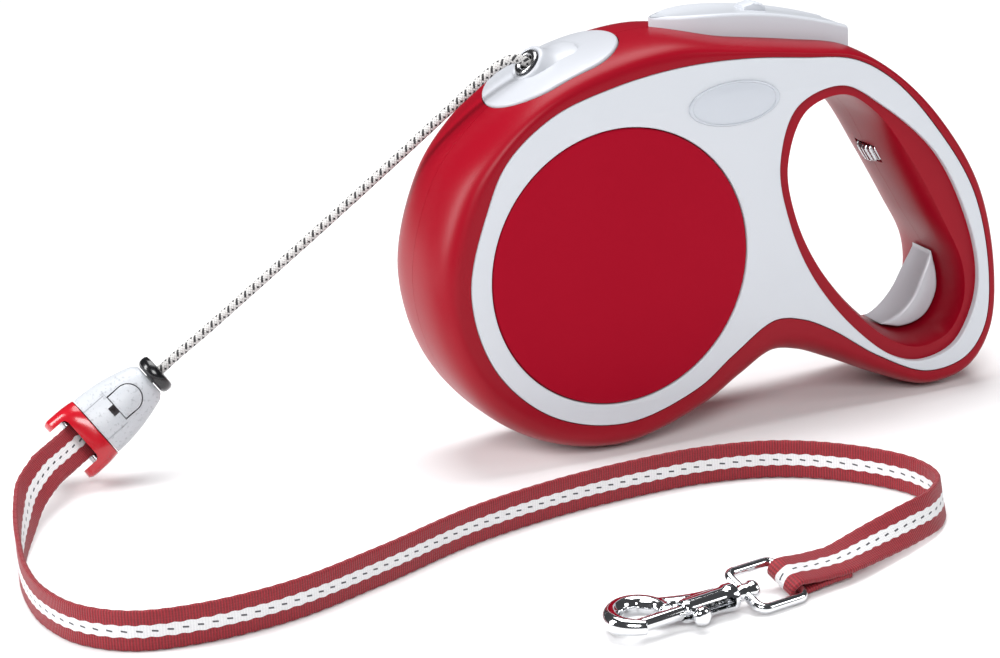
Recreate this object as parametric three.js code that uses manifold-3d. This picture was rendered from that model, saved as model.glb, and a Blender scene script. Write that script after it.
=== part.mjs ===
// Retractable leash: a hand-held case with a spring-driven cord reel, a thumb brake and an adjustable grip,
// and a short strap with a coupler at one end and a snap hook at the other.
// Millimetres. X runs along the case towards the grip, Y through its thickness, Z up. The case stands on its
// underside, with the origin under the middle of the case.
import * as THREE from 'three';
import { mergeVertices } from 'three/addons/utils/BufferGeometryUtils.js';
import Module from 'manifold-3d';

// ---- driving dimensions -------------------------------------------------------------------------------
const CASE_LENGTH = 200;
const CASE_HEIGHT = 132; // top of the rim in front of the brake button
const CASE_THICKNESS = 42.6; // over the two shells
const BODY_RADIUS = 61.4; // round body, on the parting line
const FACE_RADIUS = 51.2; // outer edge of the trim around the round body
const DISC_RADIUS = 44; // round side cover
const WALL = 2.4;
const TRIM_DEPTH = 2; // recess that holds the trim and the side cover
const FACE_PLATE = 2; // shell floor under the trim
const FACE_LIP = 0.22; // part of the rim width left flat around the trim
const RIM_POWER = 2.5; // superellipse power of the rim section
const FIT = 0.3; // clearance between fixed pieces
const RUN = 0.5; // clearance around moving pieces

const AXLE_RADIUS = 4;
const REEL_RADIUS = 40;
const TOOTH_HEIGHT = 3;
const TOOTH_COUNT = 32;
const HUB_RADIUS = 12;
const FLANGE = 1.8;
const TOOTHED_FLANGE = 3;
const HUB_BOSS = 2.5; // height of the shells' bosses around the axle
const SPRING_WIDTH = 8;
const SPRING_TURNS = 6;
const SPRING_STRIP = 0.8;

const CORD_DIAMETER = 3;
const STRAP_WIDTH = 12;
const STRAP_THICKNESS = 1.6;
const SCREW_RADIUS = 1.4;
const SCREW_HEAD_RADIUS = 2.5;
const SCREW_LENGTH = 10; // how far a screw reaches past the parting plane
const BOSS_RADIUS = 3.6;

const BUTTON_HALF_WIDTH = 9.5;
const BUTTON_TRAVEL = 3;
const LOCK_TRAVEL = 4;
const WHEEL_RADIUS = 8;
const WHEEL_THICKNESS = 6;
const PAD_HALF_WIDTH = 11;
const PAD_TRAVEL = 6;

// ---- places that follow from them ---------------------------------------------------------------------
const HALF = CASE_THICKNESS / 2;
const REEL_X = BODY_RADIUS - CASE_LENGTH / 2;
const REEL_Z = BODY_RADIUS;
const PLATE_OUT = HALF - TRIM_DEPTH; // outer side of the shell floor
const PLATE_IN = PLATE_OUT - FACE_PLATE;
const OUTLINE_STEPS = 60;
const OPENING_STEPS = 40;
const DRAWN_REACH = 138.6; // the outlines below are drawn for this distance from reel axis to grip end
const DRAWN_HEIGHT = 132;
const REACH = (CASE_LENGTH - BODY_RADIUS) / DRAWN_REACH;
const RISE = CASE_HEIGHT / DRAWN_HEIGHT;

const wasm = await Module();
wasm.setup();

// ---- colours ------------------------------------------------------------------------------------------
const finish = (color, roughness, metalness) =>
  new THREE.MeshStandardMaterial({ color, roughness, metalness });
const RED = finish(0xa31026, 0.42, 0);
const GREY = finish(0xc9ced6, 0.45, 0);
const INNER_PLASTIC = finish(0x26282c, 0.6, 0);
const BLACK_RUBBER = finish(0x141416, 0.5, 0);
const STEEL = finish(0xb4b6ba, 0.3, 1);
const CHROME = finish(0xd8dadf, 0.12, 1);
const BRAID = finish(0xd9d8d4, 0.8, 0);
const WEBBING = finish(0x9c1526, 0.85, 0);

const group = new THREE.Group();

function add(name, geometry, material, parent = group) {
  const mesh = new THREE.Mesh(geometry, material);
  mesh.name = name;
  parent.add(mesh);
  return mesh;
}

// ---- booleans -----------------------------------------------------------------------------------------
function solidOf(geometry) {
  const bare = geometry.clone();
  bare.deleteAttribute('normal');
  bare.deleteAttribute('uv');
  const merged = mergeVertices(bare, 1e-4);
  return new wasm.Manifold(new wasm.Mesh({
    numProp: 3,
    vertProperties: new Float32Array(merged.attributes.position.array),
    triVerts: new Uint32Array(merged.index.array),
  }));
}

function geometryOf(solid) {
  const mesh = solid.getMesh();
  const geometry = new THREE.BufferGeometry();
  geometry.setAttribute('position', new THREE.BufferAttribute(new Float32Array(mesh.vertProperties), 3));
  geometry.setIndex(new THREE.BufferAttribute(new Uint32Array(mesh.triVerts), 1));
  return geometry;
}

const combine = (how) => (first, ...others) =>
  geometryOf(others.reduce((solid, other) => solid[how](solidOf(other)), solidOf(first)).simplify(0.01));
const cut = combine('subtract');
const join = combine('add');
const common = combine('intersect');

// ---- shapes -------------------------------------------------------------------------------------------
const at = (x, z) => new THREE.Vector2(x, z);

// A solid between an outline's copies at several depths: rings is a list of equally long lists of points.
function loft(rings, capOutline = (ring) => ring.map((p) => at(p.x, p.z))) {
  const count = rings[0].length;
  const positions = rings.flatMap((ring) => ring.flatMap((p) => [p.x, p.y, p.z]));
  const faces = [];
  for (let level = 0; level + 1 < rings.length; level += 1) {
    for (let i = 0; i < count; i += 1) {
      const a = level * count + i;
      const b = level * count + ((i + 1) % count);
      faces.push(a, b, b + count, a, b + count, a + count);
    }
  }
  const cap = THREE.ShapeUtils.triangulateShape(capOutline(rings[0]), []);
  const last = (rings.length - 1) * count;
  cap.forEach(([a, b, c]) => faces.push(c, b, a, last + a, last + b, last + c));
  const geometry = new THREE.BufferGeometry();
  geometry.setAttribute('position', new THREE.Float32BufferAttribute(positions, 3));
  geometry.setIndex(faces);
  return outward(geometry);
}

// Turns a closed mesh's faces over where they point in.
function outward(geometry) {
  const p = geometry.attributes.position;
  const index = geometry.index.array;
  const [a, b, c] = [new THREE.Vector3(), new THREE.Vector3(), new THREE.Vector3()];
  let volume = 0;
  for (let i = 0; i < index.length; i += 3) {
    a.fromBufferAttribute(p, index[i]);
    b.fromBufferAttribute(p, index[i + 1]);
    c.fromBufferAttribute(p, index[i + 2]);
    volume += a.dot(b.cross(c));
  }
  if (volume < 0) {
    for (let i = 0; i < index.length; i += 3) [index[i], index[i + 1]] = [index[i + 1], index[i]];
  }
  return geometry;
}

// A flat piece with its outline in the X-Z plane, from y = from to y = to (from < to).
function plate(outline, from, to, holes = []) {
  const shape = new THREE.Shape(outline);
  holes.forEach((hole) => shape.holes.push(new THREE.Path(hole)));
  const geometry = new THREE.ExtrudeGeometry(shape, { depth: to - from, bevelEnabled: false });
  return geometry.rotateX(Math.PI / 2).translate(0, to, 0);
}

// A turned piece on the Y axis through (x, z): profile points are [radius, y].
function turned(profile, x, z, segments = 48) {
  const points = [...profile, profile[0]].map(([r, y]) => at(r, y));
  return new THREE.LatheGeometry(points, segments).translate(x, 0, z);
}

const drum = (radius, from, to, x, z, segments = 32) =>
  turned([[0, from], [radius, from], [radius, to], [0, to]], x, z, segments);

const circle = (radius, x, z, steps = 48) =>
  new THREE.Path().absarc(x, z, radius, 0, 2 * Math.PI).getSpacedPoints(steps).slice(0, steps);

function closedCurve(points, steps) {
  const curve = new THREE.CatmullRomCurve3(points.map((p) => new THREE.Vector3(p.x, 0, p.y)), true);
  return Array.from({ length: steps }, (_, i) => {
    const p = curve.getPoint(i / steps);
    return at(p.x, p.z);
  });
}

// Moves a smooth closed outline sideways: positive distance goes inwards on a counter-clockwise outline.
function inset(outline, distance) {
  return outline.map((p, i) => {
    const before = outline[(i + outline.length - 1) % outline.length];
    const after = outline[(i + 1) % outline.length];
    const along = at(after.x - before.x, after.y - before.y).normalize();
    return at(p.x - along.y * distance, p.y + along.x * distance);
  });
}

// ---- outlines of the case -----------------------------------------------------------------------------
// Each station is a point on the parting line and its partner on the edge of the face, both measured from
// the reel axis in X and from the ground in Z. The round body's stations are worked out from its two radii.
const station = (px, pz, fx, fz) => ({ parting: at(px, pz), face: at(fx, fz) });
const toCase = (p) => at(REEL_X + (p.x > 0 ? p.x * REACH : p.x), p.y * RISE);

function bodyStation(degrees) {
  const angle = THREE.MathUtils.degToRad(degrees);
  const onBody = (radius) => at(REEL_X + radius * Math.cos(angle), REEL_Z + radius * Math.sin(angle));
  return { parting: onBody(BODY_RADIUS), face: onBody(FACE_RADIUS) };
}

const drawn = (stations) =>
  stations.map(({ parting, face }) => ({ parting: toCase(parting), face: toCase(face) }));

const CASE_STATIONS = [
  ...[150, 180, 210, 240, 270, 300].map(bodyStation),
  ...drawn([
    station(43.8, 15.2, 38.8, 26),
    station(55.8, 20.7, 53.6, 34.6),
    station(66.8, 19.2, 63.5, 33.3),
    station(79.8, 13.8, 74.3, 28),
    station(95.8, 6.2, 91.8, 16),
    station(112.5, 0.2, 110.5, 7.5),
    station(128, 3.5, 125.1, 10),
    station(136.8, 16, 132.4, 19.5),
    station(138.6, 38, 133.8, 38.8),
    station(132.6, 67.8, 128, 65.9),
    station(117.8, 92.7, 113.6, 89.7),
    station(100.8, 109.5, 98.1, 107.1),
    station(85.8, 118.3, 83.8, 115.8),
    station(66.8, 122.5, 65.8, 118.8),
    station(43.8, 126.5, 44.3, 121.4),
    station(21.8, 130.5, 21.8, 121.6),
    station(-0.2, 128, -0.8, 118.6),
    station(-22.2, 120.3, -21.6, 112.4),
    station(-40, 107.6, -37.2, 100.6),
  ]),
];

const OPENING_STATIONS = drawn([
  station(62.5, 84, 56.7, 85.5),
  station(64.5, 68, 59.7, 66.5),
  station(72.5, 50.5, 67.7, 47.3),
  station(86, 33, 81.9, 28.3),
  station(99.5, 21.5, 97.6, 15),
  station(109.5, 18, 108.9, 11.6),
  station(118.5, 20.5, 120.8, 15),
  station(123.5, 28.5, 128.1, 26.8),
  station(122.5, 41, 129.6, 39.5),
  station(112.8, 58, 125, 58.6),
  station(102, 77, 113.6, 80.8),
  station(91.5, 96, 94.5, 98.8),
  station(82, 102.5, 79.1, 107.8),
  station(69.5, 99.5, 63, 103),
]);

const outlineOf = (stations, steps) => ({
  parting: closedCurve(stations.map((s) => s.parting), steps),
  face: closedCurve(stations.map((s) => s.face), steps),
});
const CASE = outlineOf(CASE_STATIONS, OUTLINE_STEPS);
const OPENING = outlineOf(OPENING_STATIONS, OPENING_STEPS);

// The outline at a share of the way out from the parting plane to the face.
function section({ parting, face }, share) {
  const crown = FACE_LIP + (1 - FACE_LIP) * (1 - share ** RIM_POWER) ** (1 / RIM_POWER);
  return parting.map((p, i) => face[i].clone().lerp(p, crown));
}

const SECTION_SHARES = [0, 0.5, 0.8, 0.95, 1];
const ringAt = (outline, y) => outline.map((p) => new THREE.Vector3(p.x, y, p.y));

// A rounded body on one side of the parting plane. side is -1 for the near half and 1 for the far half.
function halfBody(outlines, side, depth, { start = 0, shrink = 0, past = 0 } = {}) {
  const rings = SECTION_SHARES.map((share, i) => {
    const y = i === 0 ? start : share * depth;
    return ringAt(inset(section(outlines, share), shrink), side * y);
  });
  if (past) rings.push(ringAt(inset(section(outlines, 1), shrink), side * (depth + past)));
  return loft(rings);
}

// ---- where things sit ---------------------------------------------------------------------------------
const boreAt = (degrees, radius) => {
  const angle = THREE.MathUtils.degToRad(degrees);
  return at(REEL_X + radius * Math.cos(angle), REEL_Z + radius * Math.sin(angle));
};
const BOSS_REACH = REEL_RADIUS + TOOTH_HEIGHT + BOSS_RADIUS + RUN;
const BOSSES = [
  boreAt(208, BOSS_REACH),
  boreAt(322, BOSS_REACH),
  boreAt(142, BOSS_REACH),
  toCase(at(96.5, 104.5)),
  toCase(at(112.5, 9)),
];

// The outlet insert lies on the front shoulder, along OUTLET_LINE, and its boss leans further forward.
const OUTLET = toCase(at(-12.5, 123.4));
const OUTLET_TILT = THREE.MathUtils.degToRad(20);
const OUTLET_LENGTH = 46;
const OUTLET_WIDTH = 34;
const EYE = new THREE.Vector3(REEL_X - 19.5, 0, 124.6 * RISE);
const EYE_AXIS = new THREE.Vector3(-0.75, -0.1, 0.65).normalize();
const EYELET_RADIUS = 4.6;
const EYELET_BORE = 2.1;

// The brake button's side view and its way down.
const BUTTON_FRONT = toCase(at(22.5, 133.4));
const BUTTON_CREST = toCase(at(41, 134.4));
const BUTTON_REAR = toCase(at(88.8, 123.6));
const BUTTON_DOWN = new THREE.Vector3(-0.216, 0, -0.976).normalize();
const BUTTON_DEEP = 12.5; // from the top of the button to its underside
const BUTTON_LEAD = -BUTTON_DOWN.x * BUTTON_TRAVEL; // how far it moves forward on its way down

const SPRING_SEAT = 4.2; // radius of the bore in the button that holds the spring
const SPRING_TOP = 5; // depth of its floor
const COIL_RADIUS = 3;
const COIL_WIRE = 0.45;
const SHELF_DEPTH = 19; // from the button's top to the shelf that carries the spring
function springFoot(down) {
  const p = BUTTON_CREST.clone().lerp(BUTTON_REAR, 0.1);
  return new THREE.Vector3(p.x, 0, p.y).addScaledVector(BUTTON_DOWN, down);
}

// The grip's finger side runs straight, GRIP_UP, and the adjuster lies along it.
const GRIP_UP = new THREE.Vector3(-0.5 * REACH, 0, 0.866 * RISE).normalize();
const GRIP_IN = new THREE.Vector3(-GRIP_UP.z, 0, GRIP_UP.x); // from the grip into the hand opening
const WHEEL_EDGE = toCase(at(101.2, 78.6));
const WHEEL_PROUD = 2;
const WHEEL = new THREE.Vector3(WHEEL_EDGE.x, 0, WHEEL_EDGE.y)
  .addScaledVector(GRIP_IN, WHEEL_PROUD - WHEEL_RADIUS);
const SPINDLE_RADIUS = 2.4;

function along(geometry, axis, origin) {
  const turn = new THREE.Quaternion().setFromUnitVectors(new THREE.Vector3(0, 1, 0), axis);
  return geometry.applyQuaternion(turn).translate(origin.x, origin.y, origin.z);
}

const rod = (radius, from, to, axis, origin, sides = 24) =>
  along(turned([[0, from], [radius, from], [radius, to], [0, to]], 0, 0, sides), axis, origin);

// ---- case ---------------------------------------------------------------------------------------------
// A long oval prism that stands on the shoulder; grow widens it all round.
function outletPrism(grow) {
  const shape = new THREE.Shape();
  const radius = OUTLET_WIDTH / 2 + grow;
  const straight = OUTLET_LENGTH / 2 - OUTLET_WIDTH / 2;
  shape.absarc(straight, 0, radius, -Math.PI / 2, Math.PI / 2);
  shape.absarc(-straight, 0, radius, Math.PI / 2, 1.5 * Math.PI);
  const prism = new THREE.ExtrudeGeometry(shape, { depth: 40, bevelEnabled: false, curveSegments: 12 });
  return prism.translate(0, 0, -20).rotateY(-OUTLET_TILT).translate(OUTLET.x, 0, OUTLET.y);
}

// The button seen from above: a long plate with a pointed bow. Its way down leans forward, so its well has
// to reach further forward by lead.
function buttonPlan(grow, lead = 0) {
  const half = BUTTON_HALF_WIDTH + grow;
  const nose = BUTTON_FRONT.x - grow - lead;
  const shoulder = BUTTON_FRONT.x + 22 - lead;
  const shape = new THREE.Shape();
  shape.moveTo(nose, 0);
  shape.quadraticCurveTo(nose + 6, -half * 0.85, shoulder, -half);
  shape.lineTo(BUTTON_REAR.x + grow, -half);
  shape.lineTo(BUTTON_REAR.x + grow, half);
  shape.lineTo(shoulder, half);
  shape.quadraticCurveTo(nose + 6, half * 0.85, nose, 0);
  const low = REEL_Z;
  const depth = CASE_HEIGHT * 1.2 - low;
  const block = new THREE.ExtrudeGeometry(shape, { depth, bevelEnabled: false, curveSegments: 8 });
  return block.translate(0, 0, low);
}

// The button's side view, thickened right across the case.
function buttonSide(deep, lift) {
  const lower = BUTTON_DOWN.clone().multiplyScalar(deep);
  const raise = BUTTON_DOWN.clone().multiplyScalar(-lift);
  const [front, rear] = [BUTTON_FRONT, BUTTON_REAR].map((p) => at(p.x + raise.x, p.y + raise.z));
  const crest = at(BUTTON_CREST.x, BUTTON_CREST.y + lift + 1.2);
  const curve = new THREE.QuadraticBezierCurve(front, crest, rear);
  const outline = [
    ...curve.getPoints(8),
    at(BUTTON_REAR.x + 4, BUTTON_REAR.y + lower.z),
    at(BUTTON_FRONT.x - 4, BUTTON_FRONT.y + lower.z),
  ];
  return plate(outline.reverse(), -HALF, HALF);
}

// A block on the spindle's line: its length along the grip, its reach to the hand side and to the outer side.
const STEM_LENGTH = 7;
const STEM_HALF_WIDTH = 4.2;
const STEM_OUTWARD = 3.9;
const STEM_RISE = 3.4; // from the pad's upper tip to the stem's middle
const STEM_COVER = 4.7; // how far the stem reaches past the tip, into the hand opening
const PAD_TIP = toCase(at(121.6, 42.6));
const tipFromWheel = new THREE.Vector3(PAD_TIP.x, 0, PAD_TIP.y).sub(WHEEL);
const STEM_INWARD = tipFromWheel.dot(GRIP_IN) + STEM_COVER;
const STEM_DOWN = -tipFromWheel.dot(GRIP_UP) - STEM_RISE; // from the wheel's middle to the stem's middle
const SPINDLE_LENGTH = STEM_DOWN + 2;
function stemBlock(inward, halfWidth, length, rise) {
  const box = new THREE.BoxGeometry(inward + STEM_OUTWARD, 2 * halfWidth, length);
  box.translate((STEM_OUTWARD - inward) / 2, 0, rise - STEM_DOWN);
  const turn = new THREE.Quaternion().setFromUnitVectors(new THREE.Vector3(0, 0, 1), GRIP_UP);
  return box.applyQuaternion(turn).translate(WHEEL.x, 0, WHEEL.z);
}

const stemSlot = () =>
  stemBlock(STEM_INWARD + 4, STEM_HALF_WIDTH + RUN, PAD_TRAVEL + STEM_LENGTH + 2 * RUN, PAD_TRAVEL / 2);

function shell(side) {
  const outer = halfBody(CASE, side, HALF, { start: FIT / 4 });
  const hollow = cut(
    halfBody(CASE, side, PLATE_IN, { start: -1, shrink: WALL }),
    halfBody(OPENING, side, HALF, { start: -2, shrink: -WALL, past: 2 }),
  );
  const recess = plate(inset(CASE.face, -FIT / 3), ...span(side, PLATE_OUT, HALF + 1), [OPENING.face]);
  const hand = halfBody(OPENING, side, HALF, { start: -1, past: 2 });
  const shellBody = cut(outer, hollow, hand, recess);
  const bosses = BOSSES.map((p) => drum(BOSS_RADIUS, ...span(side, FIT / 4, PLATE_IN + 0.5), p.x, p.y, 20));
  const shelf = springShelf(side);
  const bossSpan = span(side, PLATE_IN - HUB_BOSS, PLATE_IN + 0.5);
  const hubBoss = drum(AXLE_RADIUS + 4, ...bossSpan, REEL_X, REEL_Z, 28);
  const axleBore = drum(AXLE_RADIUS + FIT, ...span(side, 0, PLATE_IN), REEL_X, REEL_Z, 28);
  const boreDepth = side < 0 ? SCREW_LENGTH + 4 : HALF;
  const screwBores = BOSSES.map((p) => drum(SCREW_RADIUS + FIT, ...span(side, -1, boreDepth), p.x, p.y, 14));
  const headBores = BOSSES.map((p) => drum(SCREW_HEAD_RADIUS + FIT, PLATE_IN - 0.5, HALF, p.x, p.y, 16));
  const sinks = side < 0 ? [] : headBores;
  const wellHalf = WHEEL_THICKNESS / 2 + RUN;
  const wheelWell = rod(WHEEL_RADIUS + RUN, -wellHalf, wellHalf, GRIP_UP, WHEEL);
  return cut(
    join(shellBody, ...bosses, hubBoss, shelf),
    axleBore,
    ...screwBores,
    ...sinks,
    outletPrism(FIT),
    common(buttonPlan(RUN, BUTTON_LEAD), buttonSide(BUTTON_DEEP + BUTTON_TRAVEL + 4, 10)),
    wheelWell,
    stemSlot(),
    ground(),
  );
}

function springShelf(side) {
  const [upper, lower] = [springFoot(SHELF_DEPTH), springFoot(SHELF_DEPTH + 2)];
  const reach = SPRING_SEAT + 1;
  const outline = [
    at(lower.x - reach, lower.z),
    at(lower.x + reach, lower.z),
    at(upper.x + reach, upper.z),
    at(upper.x - reach, upper.z),
  ];
  return plate(outline, ...span(side, FIT / 4, PLATE_IN + 0.5));
}

// Orders two distances from the parting plane as a y range on one side of it.
function span(side, from, to) {
  return side < 0 ? [-to, -from] : [from, to];
}

// What lies under the ground plane: cutting it away leaves the two flat feet.
function ground() {
  return new THREE.BoxGeometry(3 * CASE_LENGTH, 2 * CASE_THICKNESS, 20).translate(0, 0, -10);
}

function trim(side) {
  const outline = inset(CASE.face, FIT / 3);
  const holes = [circle(DISC_RADIUS + FIT, REEL_X, REEL_Z), inset(OPENING.face, -FIT / 3).reverse()];
  return plate(outline, ...span(side, PLATE_OUT + 0.05, HALF + 0.2), holes);
}

function sideDisc(side) {
  const base = PLATE_OUT + 0.05;
  const crown = HALF + 0.4;
  const profile = [
    [0, base], [DISC_RADIUS, base], [DISC_RADIUS, HALF], [DISC_RADIUS - 0.5, crown], [0, crown],
  ];
  const flipped = profile.map(([r, y]) => [r, side * y]);
  return turned(side < 0 ? flipped.reverse() : flipped, REEL_X, REEL_Z, 64);
}

const BADGE = toCase(at(40.5, 107.9));
const BADGE_HALF_LENGTH = 16;
const BADGE_HALF_HEIGHT = 7;
function badge(side) {
  const oval = new THREE.EllipseCurve(BADGE.x, BADGE.y, BADGE_HALF_LENGTH, BADGE_HALF_HEIGHT, 0, 2 * Math.PI);
  return plate(oval.getSpacedPoints(32).slice(0, 32), ...span(side, HALF + 0.25, HALF + 1));
}

add('near_shell', shell(-1), RED);
add('far_shell', shell(1), RED);
add('near_trim', trim(-1), GREY);
add('far_trim', trim(1), GREY);
add('near_disc', sideDisc(-1), RED);
add('far_disc', sideDisc(1), RED);
add('near_badge', badge(-1), GREY);
add('far_badge', badge(1), GREY);

BOSSES.forEach((p, i) => {
  const head = PLATE_IN - 0.4;
  const profile = [
    [0, -SCREW_LENGTH], [SCREW_RADIUS, -SCREW_LENGTH], [SCREW_RADIUS, head],
    [SCREW_HEAD_RADIUS, head], [SCREW_HEAD_RADIUS, head + 2], [0, head + 2],
  ];
  add(`case_screw_${i + 1}`, turned(profile, p.x, p.y, 14), STEEL);
});

// ---- reel ---------------------------------------------------------------------------------------------
const COVER_THICKNESS = 1.2;
const REEL_NEAR = -(PLATE_IN - HUB_BOSS - RUN); // near side of the toothed flange
const REEL_FAR = PLATE_IN - HUB_BOSS - 2 * RUN; // far side of the spring cover
const LANE_NEAR = REEL_NEAR + TOOTHED_FLANGE;
// The winding takes the width that the flanges, the spring and its cover leave.
const LANE_FAR = REEL_FAR - COVER_THICKNESS - FIT / 3 - SPRING_WIDTH - 2 * RUN - FLANGE;
const CUP_FLOOR = LANE_FAR + FLANGE;
const CUP_RIM = CUP_FLOOR + SPRING_WIDTH + 2 * RUN;
const CUP_RADIUS = REEL_RADIUS - 4;
const AXLE_BORE = AXLE_RADIUS + RUN;

function toothedRing() {
  const outline = [];
  for (let i = 0; i < TOOTH_COUNT; i += 1) {
    const start = (2 * Math.PI * i) / TOOTH_COUNT;
    const pitch = (2 * Math.PI) / TOOTH_COUNT;
    for (const [share, rise] of [[0, 0], [0.5, 0], [0.55, TOOTH_HEIGHT], [0.8, TOOTH_HEIGHT]]) {
      const radius = REEL_RADIUS + rise;
      const angle = start + share * pitch + TOOTH_PHASE;
      outline.push(at(REEL_X + radius * Math.cos(angle), REEL_Z + radius * Math.sin(angle)));
    }
  }
  return plate(outline, REEL_NEAR, LANE_NEAR, [circle(REEL_RADIUS - 6, REEL_X, REEL_Z)]);
}

// The pawl stands over the teeth, and the phase puts a gap between two teeth under it.
const PAWL_ANGLE = THREE.MathUtils.degToRad(62);
const PAWL_HALF = 1.6;
const TOOTH_PHASE = PAWL_ANGLE - (0.25 * 2 * Math.PI) / TOOTH_COUNT;

function reelDrum() {
  const profile = [
    [AXLE_BORE, REEL_NEAR], [REEL_RADIUS - 3, REEL_NEAR],
    [REEL_RADIUS - 3, LANE_NEAR], [HUB_RADIUS, LANE_NEAR],
    [HUB_RADIUS, LANE_FAR], [REEL_RADIUS, LANE_FAR], [REEL_RADIUS, CUP_FLOOR], [CUP_RADIUS, CUP_FLOOR],
    [CUP_RADIUS, CUP_RIM], [CUP_RADIUS - 2, CUP_RIM], [CUP_RADIUS - 2, CUP_FLOOR], [AXLE_BORE, CUP_FLOOR],
  ];
  return join(turned(profile, REEL_X, REEL_Z, 40), toothedRing());
}

function woundCord() {
  const inner = HUB_RADIUS + FIT;
  const outer = REEL_RADIUS - 3;
  const [near, far] = [LANE_NEAR + FIT, LANE_FAR - FIT];
  const profile = [[inner, near], [outer, near], [outer, far], [inner, far]];
  return turned(profile, REEL_X, REEL_Z, 40);
}

// A flat strip wound from beside the axle to the inside of the cup.
function spiralSpring() {
  const start = AXLE_RADIUS + 2.5;
  const end = CUP_RADIUS - 2 - RUN - SPRING_STRIP;
  const steps = SPRING_TURNS * 12;
  const side = (offset) => Array.from({ length: steps + 1 }, (_, i) => {
    const angle = (i / steps) * SPRING_TURNS * 2 * Math.PI;
    const radius = start + (end - start) * (i / steps) + offset;
    return at(REEL_X + radius * Math.cos(angle), REEL_Z + radius * Math.sin(angle));
  });
  const outline = [...side(SPRING_STRIP), ...side(0).reverse()];
  return plate(outline, CUP_FLOOR + RUN, CUP_FLOOR + RUN + SPRING_WIDTH);
}

const ring = (inner, outer, from, to) =>
  turned([[inner, from], [outer, from], [outer, to], [inner, to]], REEL_X, REEL_Z, 40);

add('reel_drum', reelDrum(), INNER_PLASTIC);
add('wound_cord', woundCord(), BRAID);
add('spiral_spring', spiralSpring(), STEEL);
add('spring_cover', ring(AXLE_BORE, CUP_RADIUS, CUP_RIM + FIT / 3, REEL_FAR), INNER_PLASTIC);
add('reel_axle', drum(AXLE_RADIUS, -(PLATE_IN - FIT), PLATE_IN - FIT, REEL_X, REEL_Z, 28), STEEL);

// ---- cord outlet --------------------------------------------------------------------------------------
function cordOutlet() {
  const skin = [-1, 1].map((side) => halfBody(CASE, side, HALF, { start: -1, shrink: -0.7 }));
  const core = [-1, 1].map((side) => halfBody(CASE, side, PLATE_IN, { start: -1, shrink: WALL }));
  const dish = common(cut(join(...skin), ...core), outletPrism(0));
  const boss = along(
    turned([[0, -7], [9, -7], [EYELET_RADIUS + 1.2, 0.6], [0, 0.6]], 0, 0, 24), EYE_AXIS, EYE);
  const bore = rod(EYELET_RADIUS - 0.8 + FIT, -14, 4, EYE_AXIS, EYE);
  const seat = rod(EYELET_RADIUS + FIT, -0.6, 4, EYE_AXIS, EYE);
  return cut(join(dish, boss), bore, seat);
}

function eyelet() {
  const neck = EYELET_RADIUS - 0.8;
  const profile = [
    [neck, -6], [neck, -0.3], [EYELET_RADIUS, -0.3],
    [EYELET_RADIUS, 0.4], [neck, 1.3], [EYELET_BORE + 0.7, 1.2],
    [EYELET_BORE, 0.3], [EYELET_BORE, -6],
  ];
  return along(turned(profile, 0, 0, 20), EYE_AXIS, EYE);
}

add('cord_outlet', cordOutlet(), GREY);
add('outlet_eyelet', eyelet(), STEEL);

// ---- brake --------------------------------------------------------------------------------------------
const LOCK_AT = 0.56; // place of the lock along the button's top
const LOCK_LENGTH = 8;
const LOCK_HALF_WIDTH = 3;
const TOP_LINE = at(BUTTON_REAR.x - BUTTON_CREST.x, BUTTON_REAR.y - BUTTON_CREST.y).normalize();

function lockPlace(upwards) {
  const p = BUTTON_CREST.clone().lerp(BUTTON_REAR, LOCK_AT - 0.2);
  return new THREE.Vector3(p.x - BUTTON_DOWN.x * upwards, 0, p.y - BUTTON_DOWN.z * upwards);
}

function lockBlock(length, halfWidth, height, upwards) {
  const turn = Math.atan2(TOP_LINE.y, TOP_LINE.x);
  const place = lockPlace(upwards);
  return new THREE.BoxGeometry(length, 2 * halfWidth, height).rotateY(-turn).translate(place.x, 0, place.z);
}

function brakeButton() {
  const body = common(buttonPlan(0), buttonSide(BUTTON_DEEP, 0));
  const slot = lockBlock(LOCK_LENGTH + 2 * LOCK_TRAVEL + RUN, LOCK_HALF_WIDTH + RUN, 5, 0.4);
  const springSeat = rod(SPRING_SEAT, SPRING_TOP, 30, BUTTON_DOWN, springFoot(0));
  return cut(body, slot, springSeat);
}

// A helical spring as one round wire from one depth under the button's top to another.
function coilSpring(radius, wire, turns, length, axis, origin) {
  const points = [];
  const steps = turns * 8;
  for (let i = 0; i <= steps; i += 1) {
    const angle = (i / 8) * 2 * Math.PI;
    points.push(new THREE.Vector3(radius * Math.cos(angle), (length * i) / steps, radius * Math.sin(angle)));
  }
  const round = new THREE.Shape(circle(wire, 0, 0, 5));
  const path = new THREE.CatmullRomCurve3(points);
  const geometry = new THREE.ExtrudeGeometry(round, { steps, extrudePath: path, bevelEnabled: false });
  return along(geometry, axis, origin);
}

function brakePawl() {
  const tip = new THREE.Vector3(
    REEL_X + (REEL_RADIUS + TOOTH_HEIGHT + 1) * Math.cos(PAWL_ANGLE), 0,
    REEL_Z + (REEL_RADIUS + TOOTH_HEIGHT + 1) * Math.sin(PAWL_ANGLE));
  const upper = BUTTON_FRONT.y - BUTTON_DEEP - FIT;
  const rise = upper - tip.z;
  const outline = [
    at(tip.x - PAWL_HALF * 0.5, tip.z),
    at(tip.x + PAWL_HALF * 0.5, tip.z),
    at(tip.x + PAWL_HALF + 2, tip.z + 6),
    at(tip.x + rise * 0.22 + 9, upper), at(tip.x + rise * 0.22 - 1, upper),
  ];
  return plate(outline, REEL_NEAR + 0.2, LANE_NEAR - 0.2);
}

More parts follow.
